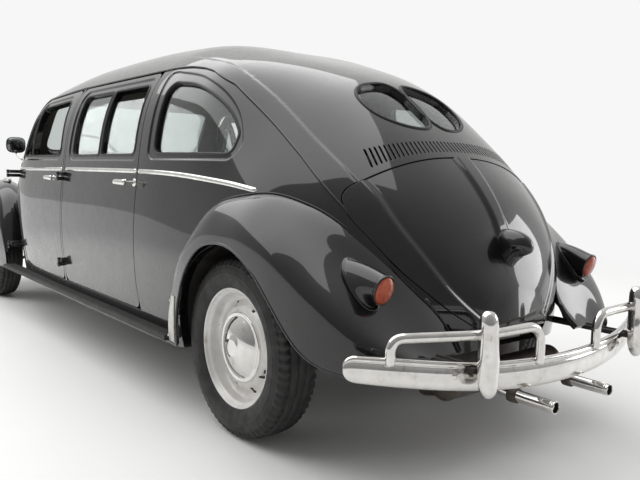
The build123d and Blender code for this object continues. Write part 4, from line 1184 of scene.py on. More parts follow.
def window_loops(row):
    if row == "front":
        vent = [(-2480, 985), (-2271, 985), (-2271, 1252), (-2330, 1195)]
        main = [(-2253, 985), (-1748, 985), (-1790, 1288), (-2225, 1272), (-2253, 1262)]
        return [rounded(vent, [18, 12, 12, 30]), rounded(main, [12, 40, 40, 20, 10])]
    front = [(-1565, 985), (-1205, 985), (-1205, 1290), (-1565, 1290)]
    back = [(-1179, 985), (-800, 985), (-800, 1290), (-1179, 1290)]
    return [rounded(front, [34, 10, 10, 34]), rounded(back, [10, 34, 34, 10])]


def edge_distance(points, loop):
    """How far points lie from a closed outline."""
    out = np.empty(len(points))
    a, d = loop, np.roll(loop, -1, 0) - loop
    size = (d * d).sum(1)
    for k in range(0, len(points), 3000):
        w = points[k : k + 3000, None] - a
        t = np.clip((w * d).sum(2) / size, 0, 1)
        out[k : k + 3000] = np.sqrt(((w - t[..., None] * d) ** 2).sum(2).min(1))
    return out


def hollow(loop, depth=6.0, soft=5.5):
    """A relief that sinks the skin inside an outline given as (y, z)."""

    def relief(p, uv):
        at = p[:, 1:]
        near = np.all((at > loop.min(0) - 20) & (at < loop.max(0) + 20), axis=1)
        out = np.zeros(len(p))
        if near.any():
            d = edge_distance(at[near], loop) * np.where(inside(at[near], loop), 1, -1)
            out[near] = -depth * step(d, -soft, soft)
        return out

    return relief


QUARTER_CORNERS = [42, 30, 70, 160, 200, 200, 60]
QUARTER_HOLLOW = round_backed([(-662, 966), (-112, 966), (-74, 1012), (-104, 1083), (-159, 1156),
    (-261, 1237), (-408, 1295), (-601, 1326), (-662, 1326)], [44, 38, 70, 160, 200, 220, 120, 44, 44], 4.0)
DOOR_HOLLOWS = {
    "front": rounded([(-2512, 964), (-1718, 964), (-1764, 1308), (-2228, 1292), (-2350, 1206)],
        [26, 60, 56, 40, 40], 4.0),
    "rear": rounded([(-1606, 962), (-766, 962), (-766, 1313), (-1606, 1313)], [60, 44, 44, 60], 4.0),
}
side_point = raised(BODY, hollow(QUARTER_HOLLOW))
door_points = {row: raised(BODY, hollow(loop)) for row, loop in DOOR_HOLLOWS.items()}


def hollow_rings(loop):
    return [side_uv(BODY, resampled(grown(loop, off), 9.0)) for off in (-7, -4.5, -2, 0.5, 3, 5.5, 8)]


def make_side():
    gap = DOOR_GAP
    low = [(-2616, 397), (-2549, 334 - gap), (-1680 + gap, 334 - gap), (-1680 + gap, 1338),
        (-1650 - gap, 1338)]
    low += [(-1650 - gap, 334 - gap), (-716, 334 - gap), (-742 + gap, 418), (-742 + gap, 1342)]
    up = [tuple(p) for p in side_uv(BODY, low + DRIP_REAR[1:] + [(392, 700), (440, 560)])]
    arch = [(366 * math.cos(a), WHEEL_Z + 366 * math.sin(a)) for a in np.radians(np.linspace(14, 191, 70))]
    arch = [tuple(p) for p in side_uv(BODY, arch)]
    outer = resampled([(-2616, 6.0)] + up + [(470, 6.0), (358, 6.0)] + arch + [(-366, 6.0)], 9.0)
    window = side_uv(BODY, round_backed(QUARTER_WINDOW, QUARTER_CORNERS))
    side = patch("left_side_skin", side_point, outer, [window], 26.0, 36.0,
        along=hollow_rings(QUARTER_HOLLOW))
    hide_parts("left_body_side")
    other = mirrored(side, "right_side_skin")
    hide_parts("right_body_side")


def make_doors():
    for row, outline, corners in (("front", FRONT_DOOR, 40), ("rear", REAR_DOOR, 40)):
        outer = side_uv(BODY, rounded(outline, corners, 8.0))
        holes = [side_uv(BODY, w) for w in window_loops(row)]
        rings = hollow_rings(DOOR_HOLLOWS[row])
        door = patch(f"{row}_left_door_skin", door_points[row], outer, holes, 26.0, 34.0,
            body=f"{row}_left_door", along=rings)
        other = mirrored(door, f"{row}_right_door_skin", f"{row}_right_door")
        for piece, node in ((door, f"{row}_left_door"), (other, f"{row}_right_door")):
            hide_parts(node)


def sunk(skin, depth):
    base = raised(skin, None)
    return lambda uv: base(uv) - normals_of(base, uv) * depth


def make_panes():
    """Glass a little inside the skin: windscreen, rear panes, quarter windows and door glass."""
    inner = sunk(BODY, 17.0)
    bare = ((0.0, 0.0, 0), (0.0, 0.5, 60))

    def pane(name, loop, nodes, body="body"):
        piece = patch(name, inner, loop, (), 40.0, 4.5, ("glass", "glass"), body, hem=bare)
        if nodes:
            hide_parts(*nodes)
        return piece

    pane("windscreen_pane", end_uv(BODY, rounded(SCREEN, 68), -2100, -2756), ["windscreen"])
    for side, sign in (("left", 1), ("right", -1)):
        loop = smooth_loop([(sign * x, z) for x, z in REAR_PANE], 8.0)
        pane(f"rear_{side}_pane", end_uv(BODY, loop, -200, 420), ["rear_window_panes"] if sign > 0 else None)
    quarter = pane("left_quarter_pane", side_uv(BODY, round_backed(QUARTER_WINDOW, QUARTER_CORNERS)),
        ["quarter_windows"])
    mirrored(quarter, "right_quarter_pane")
    vent = pane("front_left_vent_pane", side_uv(BODY, window_loops("front")[0]), ["front_left_door_glass"],
        "front_left_door")
    other = mirrored(vent, "front_right_vent_pane", "front_right_door")
    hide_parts("front_right_door_glass")
    front, back = window_loops("rear")
    back = np.array([(y, min(z, 1290 - 52)) for y, z in back])
    for k, loop in enumerate((front, back)):
        piece = pane(f"rear_left_pane_{k}", side_uv(BODY, loop), ["rear_left_door_glass"] if k == 0 else None,
            "rear_left_door")
        other = mirrored(piece, f"rear_right_pane_{k}", "rear_right_door")
        if k == 0:
            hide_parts("rear_right_door_glass")


make_upper_shell()
make_engine_lid()
make_side()
make_doors()
make_panes()

# Fenders
REAR_ARCH = [(-402, 262), (-330, 262), (-322, 330), (-303, 430), (-263, 525), (-205, 600), (-130, 655),
    (-33, 681), (54, 681), (140, 655), (215, 610), (275, 556), (330, 495), (385, 435), (433, 394), (514, 360),
    (593, 350), (688, 357)]
FRONT_ARCH = [(560, 268), (350, 268), (345, 400), (300, 510), (210, 600), (110, 655), (0, 672), (-110, 655),
    (-210, 600), (-290, 520), (-332, 430), (-352, 356), (-480, 353), (-580, 363), (-650, 376), (-688, 393)]


def joint_place(wing, y, bodies):
    """Where a fender's section leaves the body, as a place v along it."""
    v, p = wing.row(y)
    outside = np.ones(len(v), bool)
    margin = np.full(len(v), 1e9)
    for skin in bodies:
        if not skin.places[0] + skin.shift <= y <= skin.places[-1] + skin.shift:
            continue
        bv, bp = skin.row(y)
        half = bv <= skin.girth / 2
        width = np.interp(p[:, 2], bp[half, 2], bp[half, 0], left=-1, right=-1)
        margin = np.minimum(margin, p[:, 0] - width)
    outside = margin > 0
    hidden = np.nonzero(~outside)[0]
    if len(hidden) == 0:
        return 0.0
    k = hidden[-1]
    if k + 1 >= len(v):
        return v[-1]
    a, b = margin[k], margin[k + 1]
    return v[k] + (v[k + 1] - v[k]) * (-a / (b - a)) if b < 1e8 else v[k]


def make_fender(name, wing, arch, low, high, bodies, nodes, shift=0.0):
    point = raised(wing, None)
    places = np.arange(low + 1, high, 12.0) + shift
    joint = np.array([joint_place(wing, y, bodies) for y in places])
    joint = softened(joint[:, None], 2)[:, 0]
    bead = np.stack([places, joint], 1)
    edge = []
    for y, z in resampled(spline(arch, 300), 9.0, False):
        v, p = wing.row(y + shift)
        k = int(np.argmax(p[:, 2]))
        edge.append((y + shift, np.interp(-z, -p[k:, 2], v[k:])))
    edge = np.array(edge)
    if edge[0, 0] < edge[-1, 0]:
        edge = edge[::-1]
    keep = [e for e in edge if places[0] <= e[0] <= places[-1]]
    outer = resampled(np.vstack([bead - (0, 5.0), keep]), 9.0)
    left = patch(f"{name}_left_fender_skin", point, outer, (), 16.0, 12.0, ("paint", "dark"), flip=True)
    right = mirrored(left, f"{name}_right_fender_skin")
    for piece, node in zip((left, right), nodes):
        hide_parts(node)
    line = point(bead)
    across_ = -normals_of(point, bead)
    strip = swept(f"{name}_left_bead", line + across_ * 1.0, circle(4.2, 10), "plastic", up=across_)
    mirrored(strip, f"{name}_right_bead")
    # The rolled edge of the wheel opening
    keep = resampled(np.array(keep), 9.0, False)
    inward = -normals_of(point, keep)
    lip = swept(f"{name}_left_lip", point(keep) - inward * 2.2, circle(5.0, 12), "paint", up=inward)
    mirrored(lip, f"{name}_right_lip")


make_fender("rear", REAR_WING, REAR_ARCH, -402, 690, [BODY], ("rear_left_fender", "rear_right_fender"))
make_fender("front", FRONT_WING, FRONT_ARCH, -690, 560, [NOSE, BODY],
    ("front_left_fender", "front_right_fender"), NOSE_SHIFT)

# Trim on the sides
BELT = spline([(-2604, 905), (-1700, 915), (-1000, 917), (-720, 916), (-400, 908), (-150, 890), (-37, 878),
    (63, 862)], 400)


def on_side(points, off=0.0, point=plain_point):
    """Points on the left side given as (y, z), raised off it, and the directions out of it."""
    uv = side_uv(BODY, points)
    out = normals_of(point, uv)
    return point(uv) + out * off, out


def rounded_ends(profile, run, reach):
    """A section that narrows to a round end over a reach at both ends of a run."""

    def shape(s):
        end = min(s, 1 - s) * run
        k = math.sqrt(max(0.01, 1 - (1 - min(end / reach, 1)) ** 2))
        return [(a * k, b * k) for a, b in profile]

    return shape


def right_of(body):
    return body.replace("left", "right")


STRIP = [(-9.5, -1.0), (-9.5, 1.4), (-7.5, 3.4), (-3.5, 4.9), (0, 5.3), (3.5, 4.9), (7.5, 3.4), (9.5, 1.4),
    (9.5, -1.0)]


def make_belt():
    runs = (("front_door", -2592, -1684, "front_left_door"), ("rear_door", -1634, -747, "rear_left_door"),
        ("side", -735, 63, "body"))
    for name, start, end, body in runs:
        ys = np.linspace(start, end, int((end - start) / 11))
        line, out = on_side([(y, np.interp(y, BELT[:, 0], BELT[:, 1])) for y in ys], 0.4)
        strip = swept(f"left_{name}_belt", line, rounded_ends(STRIP, end - start, 10), "bright", body, up=out)
        mirrored(strip, f"right_{name}_belt", right_of(body))


def make_drip_rail():
    line = [(-2606, 922), (-2388, 1250), (-2330, 1294), (-2252, 1322), (-1680, 1342)] + DRIP_REAR
    path, out = on_side(softened(resampled(line, 10.0, False), 1), 2.5)
    rail = swept("left_drip_rail", path, circle(4.0, 10), "paint", up=out)
    mirrored(rail, "right_drip_rail")


def make_seals():
    """Rubber round each pane, sunk with the pressing that holds it."""
    profile = [(6.5 * math.cos(a), 4.6 * math.sin(a)) for a in np.linspace(0, 2 * math.pi, 12,
        endpoint=False)]

    def seal(name, path, out, body="body", both=True):
        ring = swept(name, path, profile, "rubber", body, closed=True, up=out)
        if both:
            mirrored(ring, name.replace("left", "right"), right_of(body))

    path, out = on_side(round_backed(QUARTER_WINDOW, QUARTER_CORNERS, 9.0), -1.0, side_point)
    seal("left_quarter_seal", path, out)
    for row in ("front", "rear"):
        for k, loop in enumerate(window_loops(row)):
            path, out = on_side(resampled(loop, 9.0), -1.0, door_points[row])
            seal(f"{row}_left_window_{k}_seal", path, out, f"{row}_left_door")
    loops = [("screen_seal", rounded(SCREEN, 69, 10.0), -2100, -2756, False)]
    loops.append(("rear_left_pane_seal", smooth_loop([(x, z) for x, z in REAR_PANE], 8.0), -200, 420, True))
    for name, loop, low, high, both in loops:
        uv = end_uv(BODY, loop, low, high)
        out = normals_of(roof_point, uv)
        seal(name, roof_point(uv) + out * 0.5, out, both=both)


def bar(name, path, radius_x, radius_z, mats, body="body", count=14):
    """A rod of oval section whose two radii may change along it."""
    wide = radius_x if callable(radius_x) else (lambda s: radius_x)
    tall = radius_z if callable(radius_z) else (lambda s: radius_z)
    angles = np.linspace(0, 2 * math.pi, count, endpoint=False)
    shape = lambda s: [(wide(s) * math.cos(a), tall(s) * math.sin(a)) for a in angles]
    return swept(name, path, shape, mats, body, up=(0, 0, 1.0))


def make_handles():
    for row, rear in (("front", -1680), ("rear", -722)):
        body = f"{row}_left_door"
        y0, y1 = rear - 150, rear - 27
        path = spline([(772, y0, 867), (776, y0 + 22, 869), (777, y0 + 70, 869), (775, y1, 868)], 26)
        narrow = lambda s: math.sqrt(max(0.02, 1 - (1 - min(s * 12, (1 - s) * 14, 1)) ** 2))
        pieces = [bar("grip", path, lambda s: (8.2 + 1.4 * s) * narrow(s),
            lambda s: (11.2 + 2.0 * s) * narrow(s), "bright", body)]
        for back, size in ((135, 13), (40, 17)):
            (foot,), (out,) = on_side([(rear - back, 868)])
            plate = [(0, 5), (size * 0.55, 5), (size * 0.8, 4), (size, 1.5), (size + 0.5, -1)]
            pieces.append(turned_piece("plate", plate, foot, "bright", body, 32, direction=out))
            post = [(0.01, 0), (8.5, 0), (7.0, 10), (7.0, 772 - foot[0])]
            pieces.append(turned_piece("post", post, foot, "bright", body, 24, direction=(1, 0, 0)))
        handle = joined(f"{row}_left_door_handle", pieces)
        mirrored(handle, f"{row}_right_door_handle", right_of(body))


def make_hinges():
    for row, y in (("front", -2613), ("rear", -1653)):
        for level, z in (("lower", 430), ("upper", 878)):
            for half, side, body, reach in (("leaf", 1, f"{row}_left_door", 30), ("pillar", -1, "body", 17)):
                z0, z1 = sorted((z + side * 0.8, z + side * 23.5))
                y0, y1 = sorted((y + side * 3.5, y + side * reach))
                rod = [(0.01, z0), (7.5, z0), (8.6, z0 + 1.2), (8.6, z1 - 1.2), (7.5, z1), (0.01, z1)]
                pieces = [turned_piece("barrel", rod, (757.5, y, 0), "paint", body, 24, direction=(0, 0, 1))]
                root = min(722, half_width(BODY, y, z) - 10)
                pieces.append(soft_box("plate", (root, y0, z0 + 1), (755.5, y1, z1 - 1), 3.5, "paint", body))
                name = f"{row}_left_{level}_hinge_{half}"
                piece = joined(name, pieces)
                mirrored(piece, name.replace("left", "right"), right_of(body))


def make_guards():
    """The pale stone guard on the front edge of each rear fender."""
    rows = []
    for z in np.linspace(272, 452, 24):
        y0, y1 = np.interp(z, (272, 452), (-400, -374)), np.interp(z, (272, 452), (-338, -325))
        shape = []
        for y in np.linspace(y0, y1, 6):
            v, p = REAR_WING.row(y)
            k = int(np.argmax(p[:, 2]))
            shape.append((y, np.interp(-z, -p[k:, 2], v[k:])))
        shape = np.array(shape)
        point = raised(REAR_WING, None)
        base, out = point(shape), -normals_of(point, shape)
        rows.append(np.vstack([base + out * 2.4, (base + out * 0.2)[::-1]]))
    guard = welded(grid_piece("left_stone_guard", rows, "pale_strip", wrap=True, cap=True))
    mirrored(guard, "right_stone_guard")
    for k, (y, z) in enumerate(((-358, 432), (-371, 296))):
        screw = turned_piece(f"left_guard_screw_{k}", [(0.01, 4.2), (3.4, 4.0), (4.6, 2.8), (4.8, 1.0)],
            (759, y, z), "bright", segments=20, direction=(1, 0, 0))
        mirrored(screw, f"right_guard_screw_{k}")


def make_boards():
    front, rear = -3300 + 561, -403.0
    top, low, inner, outer = 290.5, 266.5, 691.0, 763.5
    shape = [(inner, low), (outer - 4, low), (outer, low + 4), (outer, top - 6), (outer - 2, top - 2),
        (outer - 5, top - 1)]
    x = outer - 9
    while x > inner + 8:
        shape += [(x, top - 1.0), (x - 1, top + 1.3), (x - 4, top + 1.3), (x - 5, top - 1.0)]
        x -= 7.4
    shape += [(inner, top - 1)]
    rows = []
    for y in np.linspace(front, rear, 40):
        rows.append([(a, y, z) for a, z in shape])
    board = welded(grid_piece("left_running_board", rows, "board_rubber", wrap=True, cap=True))
    board.data.polygons.foreach_set("use_smooth", np.zeros(len(board.data.polygons), bool))
    other = mirrored(board, "right_running_board")
    other.data.polygons.foreach_set("use_smooth", np.zeros(len(other.data.polygons), bool))
    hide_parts("running_boards")


def lofted(name, stations, mats, body="body", across=(1, 0, 0), power=2.3, count=28, face_mats=None,
    cap=True):
    """A closed form through oval sections, each (centre, half width, half height, facing)."""
    rows = []
    angles = np.linspace(0, 2 * math.pi, count, endpoint=False)
    for centre, wide, tall, facing in stations:
        f = np.asarray(facing, float)
        f /= np.linalg.norm(f)
        a = np.asarray(across, float)
        a = a - (a @ f) * f
        a /= np.linalg.norm(a)
        b = np.cross(f, a)
        ca, sa = np.cos(angles), np.sin(angles)
        ex = np.sign(ca) * np.abs(ca) ** (2 / power) * wide
        ez = np.sign(sa) * np.abs(sa) ** (2 / power) * tall
        rows.append(np.asarray(centre, float) + ex[:, None] * a + ez[:, None] * b)
    return welded(grid_piece(name, rows, mats, body, wrap=True, cap=cap, face_mats=face_mats))


def stations_between(keys, facing, count=26):
    """Smooth stations through rows of (x, y, z, half width, half height)."""
    fine = spline(np.array(keys, float), count)
    return [(row[:3], max(row[3], 0.3), max(row[4], 0.3), facing) for row in fine]


def make_lamps():
    # Tail lamps: a teardrop housing on the fender with an oval lens in its rear face
    facing = np.array((0, 0.95, -0.3))
    facing /= np.linalg.norm(facing)
    face = np.array((547.0, 580.0, 591.0))
    seat, seat_face = np.array((562.0, 495.0, 599.0)), np.array((0.12, 0.74, 0.66))
    stations = [(seat + seat_face * d, w, h, seat_face) for d, w,
        h in ((-12, 46, 97), (3.5, 46.5, 97.5), (5.5, 45.5, 96.5), (6, 43, 93))]
    for t in np.linspace(0.05, 1, 20):
        way = (1 - t) * seat_face + t * facing
        stations.append(((1 - t) * (seat + seat_face * 6) + t * face, 43 - 4 * t,
            93 + (47.5 - 93) * math.sin(t * math.pi / 2) ** 0.9, way))
    house = lofted("left_tail_lamp_housing", stations, "paint", power=2.1, count=44)
    rim = [(face + facing * d, w, h, facing) for d, w, h in ((-4, 39, 48), (1, 40.5, 49.5), (5, 40, 49),
        (6.5, 38, 47), (6, 35.5, 44.5), (2, 34.5, 43.5))]
    ring = lofted("left_tail_lamp_rim", rim, "paint", power=2.1, cap=False)
    glass = [(face + facing * d, w, h, facing) for d, w,
        h in ((1, 34.5, 43.5), (6, 34, 43), (10, 31, 39.5), (13.5, 25.5, 33), (16, 17, 23), (17.3, 8, 11),
            (17.6, 0.6, 0.8))]
    lens = lofted("left_tail_lamp_lens", glass, "red_lens", power=2.1)
    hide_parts("tail_lamps")
    for piece in (house, ring, lens):
        other = mirrored(piece, piece.name.replace("left", "right"))
    # Licence lamp: a hooded nose on the engine lid with its lens beneath
    keys = [(0, 590, 686, 40, 68), (0, 602, 690, 40, 66), (0, 625, 697, 38.5, 58), (0, 655, 702, 34, 44),
        (0, 678, 701, 27, 30), (0, 692, 697, 17.5, 18), (0, 698, 694, 8, 8), (0, 699, 693.5, 0.5, 0.5)]
    hood = []
    for centre, wide, tall, _ in stations_between(keys, None, 34):
        t = np.clip((centre[1] - 590) / 80, 0, 1)
        hood.append((centre, wide, tall, (0, 0.95, 0.37 - 0.59 * t)))
    nose = lofted("licence_lamp_hood", hood, "paint", "engine_lid", power=2.15, count=36)
    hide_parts("licence_lamp")
    glass = [((0, 638 + y, 659 + z), w, h, (0, 0.25, -1)) for y, z, w,
        h in ((0, 8, 25, 23), (0, 2, 24.5, 22.5), (1, -2, 20, 18), (1, -4.5, 9, 8), (1, -5, 0.5, 0.5))]
    lofted("licence_lamp_lens", glass, "clear_lens", "engine_lid", power=2.0)
    # Headlamps: a bright rim and a domed lens in each front fender
    aim = np.array((0, -166.0, 12.0))
    aim /= np.linalg.norm(aim)
    centre = np.array((545.0, -3300 - 636, 652.0))
    bowl = [(88, -160), (90, -60), (91, -30), (90, -24)]
    shell = turned_piece("left_headlamp_shell", bowl, centre, "paint", segments=64, direction=aim)
    rim = [(86, -30), (92, -28), (92.5, -20), (91, -12), (86, -6.5), (82, -5.5), (79, -8), (78, -12)]
    ring = turned_piece("left_headlamp_rim", rim, centre, "bright", segments=72, direction=aim)
    dome = [(80, -10), (72, -5.5), (60, -3), (42, -1.2), (22, -0.4), (0.01, 0)]
    lens = turned_piece("left_headlamp_lens", dome, centre, "clear_lens", segments=64, direction=aim)
    dish = [(79, -14), (66, -34), (48, -52), (28, -64), (16, -68), (0.01, -68)]
    mirror = turned_piece("left_headlamp_reflector", dish, centre, "bright", segments=48, direction=aim)
    bulb = [(0.01, -44), (8, -46), (11, -52), (9, -60), (6, -68)]
    light = turned_piece("left_headlamp_bulb", bulb, centre, "glass", segments=24, direction=aim)
    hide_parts("headlamps")
    for piece in (shell, ring, lens, mirror, light):
        other = mirrored(piece, piece.name.replace("left", "right"))
    # Indicators on the front fenders
    v_top = FRONT_WING.row(-3300 + 150)[1]
    top = v_top[np.argmax(v_top[:, 2])]
    x, y, z = top[0] + 6, -3300 + 150, top[2]
    keys = [(x, y - 52, z + 4, 9, 4), (x, y - 38, z + 9, 17, 10), (x, y - 5, z + 13, 21, 15),
        (x, y + 28, z + 12, 19, 15), (x, y + 46, z + 10, 14, 12), (x, y + 54, z + 9, 5, 5)]
    base = lofted("left_indicator_base", stations_between([(a, b, c - 5, w + 3, h) for a, b, c, w, h in keys],
        (0, 1, 0.0)), "bright", power=2.2)
    lens = lofted("left_indicator_lens", stations_between(keys, (0, 1, 0.0)), "pale_strip", power=2.1)
    for piece in (base, lens):
        mirrored(piece, piece.name.replace("left", "right"))


def make_mirrors():
    body = "front_left_door"
    head = np.array((726.0, -2553.0, 1054.0))
    face = np.array((-0.28, 0.96, -0.03))
    sizes = ((-17, 20, 14), (-14, 44, 32), (-8, 57, 43), (0, 62, 48), (7, 63, 49), (10, 62.5, 48.5),
        (11, 60, 46))
    shell = lofted("left_mirror_head", [(head + face * d, w, h, face) for d, w, h in sizes], "paint", body,
        power=3.2, count=36)
    glass = [(head + face * d, w, h, face) for d, w, h in ((9, 59.5, 45.5), (11.4, 59, 45), (11.6, 20, 15))]
    pane = lofted("left_mirror_glass", glass, "dark_mirror", body, power=3.2, count=36)
    arm = spline([(699, -2522, 964), (715, -2540, 985), (724, -2560, 1012), (726, -2563, 1040)], 20)
    stalk = tube("left_mirror_arm", arm, 5.5, "chrome", body)
    (foot,), (out,) = on_side([(-2520, 962)])
    mount = turned_piece("left_mirror_mount", [(0.01, 9), (7, 9), (10, 6), (14, 2), (15, -1)], foot, "bright",
        body, 28, direction=out)
    for piece in (shell, pane, stalk, mount):
        mirrored(piece, piece.name.replace("left", "right"), right_of(body))

# Wheels
LUGS = 66


def make_wheels():
    """Steel wheels with domed caps, and cross-ply tyres with ribbed treads."""
    face = [
        (0.01, 70.4), (10, 70.3), (19, 70.0), (23, 70.6), (27, 71.4), (31, 70.6), (34, 68.9), (48, 66.6),
            (62, 63.0), (74, 59.0),
        (85, 54.4), (94, 49.6), (101, 45.2), (106, 41.4), (109, 39.6), (112, 39.8), (116, 41.0), (120, 41.2),
        (123, 39.6),
        (124, 36.5), (124, 33.5), (127, 32.6), (132, 32.0), (138, 29.6), (144, 25.0), (150, 19.4),
        (157, 13.6), (164, 10.2),
        (171, 9.4), (177, 10.4), (182, 13.5), (185.5, 19), (187.5, 26), (189, 36), (190, 44), (191.5, 48.5),
        (195, 51.2),
        (198.5, 53), (200.6, 56), (202, 60), (204.4, 63.6), (207, 65.2), (209.4, 64.4), (209.6, 61),
        (207, 58), (200, 56),
    ]
    back = [
        (188, 20), (188, -28), (196, -52), (206, -58), (209.6, -62), (208, -65), (204, -63.5), (200, -57),
            (195, -50), (188, -46),
        (183, -30), (182, 0), (178, 3.5), (168, 2.5), (158, 6), (146, 18), (134, 25.5), (112, 30), (60, 14),
        (0.01, 12),
    ]
    rim = face + back
    cap_end, disc_end, slots = 19, len(face), 8
    shaded_slot_places = (24, 25, 26)

    # Each slot is a shallow dent whose faces are painted near black: painted shade in place of a hole through
    # the disc
    def rim_mats(i, j):
        if j < cap_end:
            return 1
        if j >= disc_end:
            return 0
        turn = (i / 192 * slots) % 1.0
        return 2 if j in shaded_slot_places and abs(turn - 0.5) < 0.07 else 0

    def rim_wobble(a, j, r, w):
        turn = (a / (2 * math.pi) * slots) % 1.0
        if j in (25, 26) and abs(turn - 0.5) < 0.06:
            return r, w - 7
        return r, w

    side = [
        (203, 55), (209, 62.5), (214, 67.5), (219, 71.5), (222, 73.4), (224, 74.6), (226, 74.9), (228, 76.4),
            (236, 79.0), (246, 80.9),
        (254, 81.4), (258, 81.6), (259, 82.3), (261, 82.3), (262, 81.6), (268, 80.9), (276, 78.8),
        (283, 76.0), (286, 74.4),
        (287.5, 75.0), (293, 72.8), (299, 69.8), (304, 66.6), (308, 63.2), (310.6, 60.0),
    ]
    crown = []
    for groove in (41.5, 14.0, -14.0, -41.5):
        for off, deep in ((9.5, 0), (3.9, 0), (3.2, 7.5), (-3.2, 7.5), (-3.9, 0), (-9.5, 0)):
            crown.append((316.4 - 5.0 * ((groove + off) / 57) ** 2 - deep, groove + off))
    other = [(r, -w) for r, w in reversed(side)]
    carcass = side + crown + other
    first, last = len(side), len(side) + len(crown)
    lugs = range(len(side) - 5, len(side))
    far_lugs = range(last, last + 5)

    def tyre_wobble(a, j, r, w):
        saw = abs((a * 32 / math.pi) % 2 - 1) * 2 - 1
        lug = (a * LUGS / (2 * math.pi) + 0.5) % 1.0 < 0.26
        if first <= j < last:
            edge = j in (first, first + 1, last - 1, last - 2)
            return r - (5.5 if edge and lug else 0), w + 2.0 * saw * (abs(w) < 50)
        if j in lugs or j in far_lugs:
            return r - (5.0 if lug else 0), w - math.copysign(3.0 if lug else 0, w)
        return r, w

    for axle, y, x in (("rear", 0, middle("rear_left_tyre")[0]),
        ("front", FRONT_Y - REAR_Y, middle("front_left_tyre")[0])):
        body = f"{axle}_left_wheel"
        centre = (x, y, WHEEL_Z)
        steel = turned_piece(f"{axle}_left_wheel_steel", rim, centre, ("wheel_paint", "chrome", "dark"), body,
            192, rim_mats, rim_wobble)
        rubber = turned_piece(f"{axle}_left_wheel_tyre", carcass, centre, "tyre", body, 4 * LUGS,
            wobble=tyre_wobble)
        stem = np.array((x + 14, y + 158 * math.sin(2.1), WHEEL_Z + 158 * math.cos(2.1)))
        valve = turned_piece(f"{axle}_left_wheel_valve", [(0.01, 30), (3.2, 29), (4, 20), (5, 8), (6, 0)],
            stem, "rubber", body, 18, direction=(0.93, -0.32, 0.19))
        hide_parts(f"{axle}_left_rim")
        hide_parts(f"{axle}_left_tyre")
        for piece in (steel, rubber, valve):
            twin = mirrored(piece, piece.name.replace("left", "right"), right_of(body))
            if piece is not valve:
                node = "rim" if piece is steel else "tyre"
                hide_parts(f"{axle}_right_{node}")


# Bumpers
BLADE_TOP = spline([(780, 453), (600, 432), (405, 408), (200, 396), (0, 392), (-200, 396)], 300)
BLADE_LOW = spline([(780, 387), (600, 356), (405, 330), (200, 314), (0, 310), (-200, 314)], 300)
BLADE_TIP = 774.0


def blade_y(x, centre, tip):
    rise = abs(centre - tip)
    radius = (BLADE_TIP**2 + rise**2) / (2 * rise)
    return centre - math.copysign(radius - math.sqrt(radius**2 - x**2), centre - tip)


def corner_path(points, radius, spacing=6.0):
    """An open path with round corners."""
    p = np.asarray(points, float)
    out = [p[0]]
    for a, b, c in zip(p, p[1:], p[2:]):
        da, dc = a - b, c - b
        la, lc = np.linalg.norm(da), np.linalg.norm(dc)
        reach = min(radius, la * 0.49, lc * 0.49)
        start, end = b + da / la * reach, b + dc / lc * reach
        for t in np.linspace(0, 1, 9):
            out.append((1 - t) ** 2 * start + 2 * t * (1 - t) * b + t**2 * end)
    return resampled(np.array(out + [p[-1]]), spacing, False)


# How far the blade's lower edge reaches below the outline, and the places of what it carries, in mm
BLADE_DROP = 7
OVERRIDER_X = 405
OVERRIDER_LOW, OVERRIDER_HIGH = 319.3, 562.9
HOOP_HALF = 250
HOOP_Z = 492
HOOP_BEND = 66
HOOP_RADIUS = 15.0
BOLT_OFFSET = 62


def blade_top(x):
    return np.interp(abs(x), BLADE_TOP[::-1, 0], BLADE_TOP[::-1, 1])


def blade_low(x):
    return np.interp(abs(x), BLADE_LOW[::-1, 0], BLADE_LOW[::-1, 1])


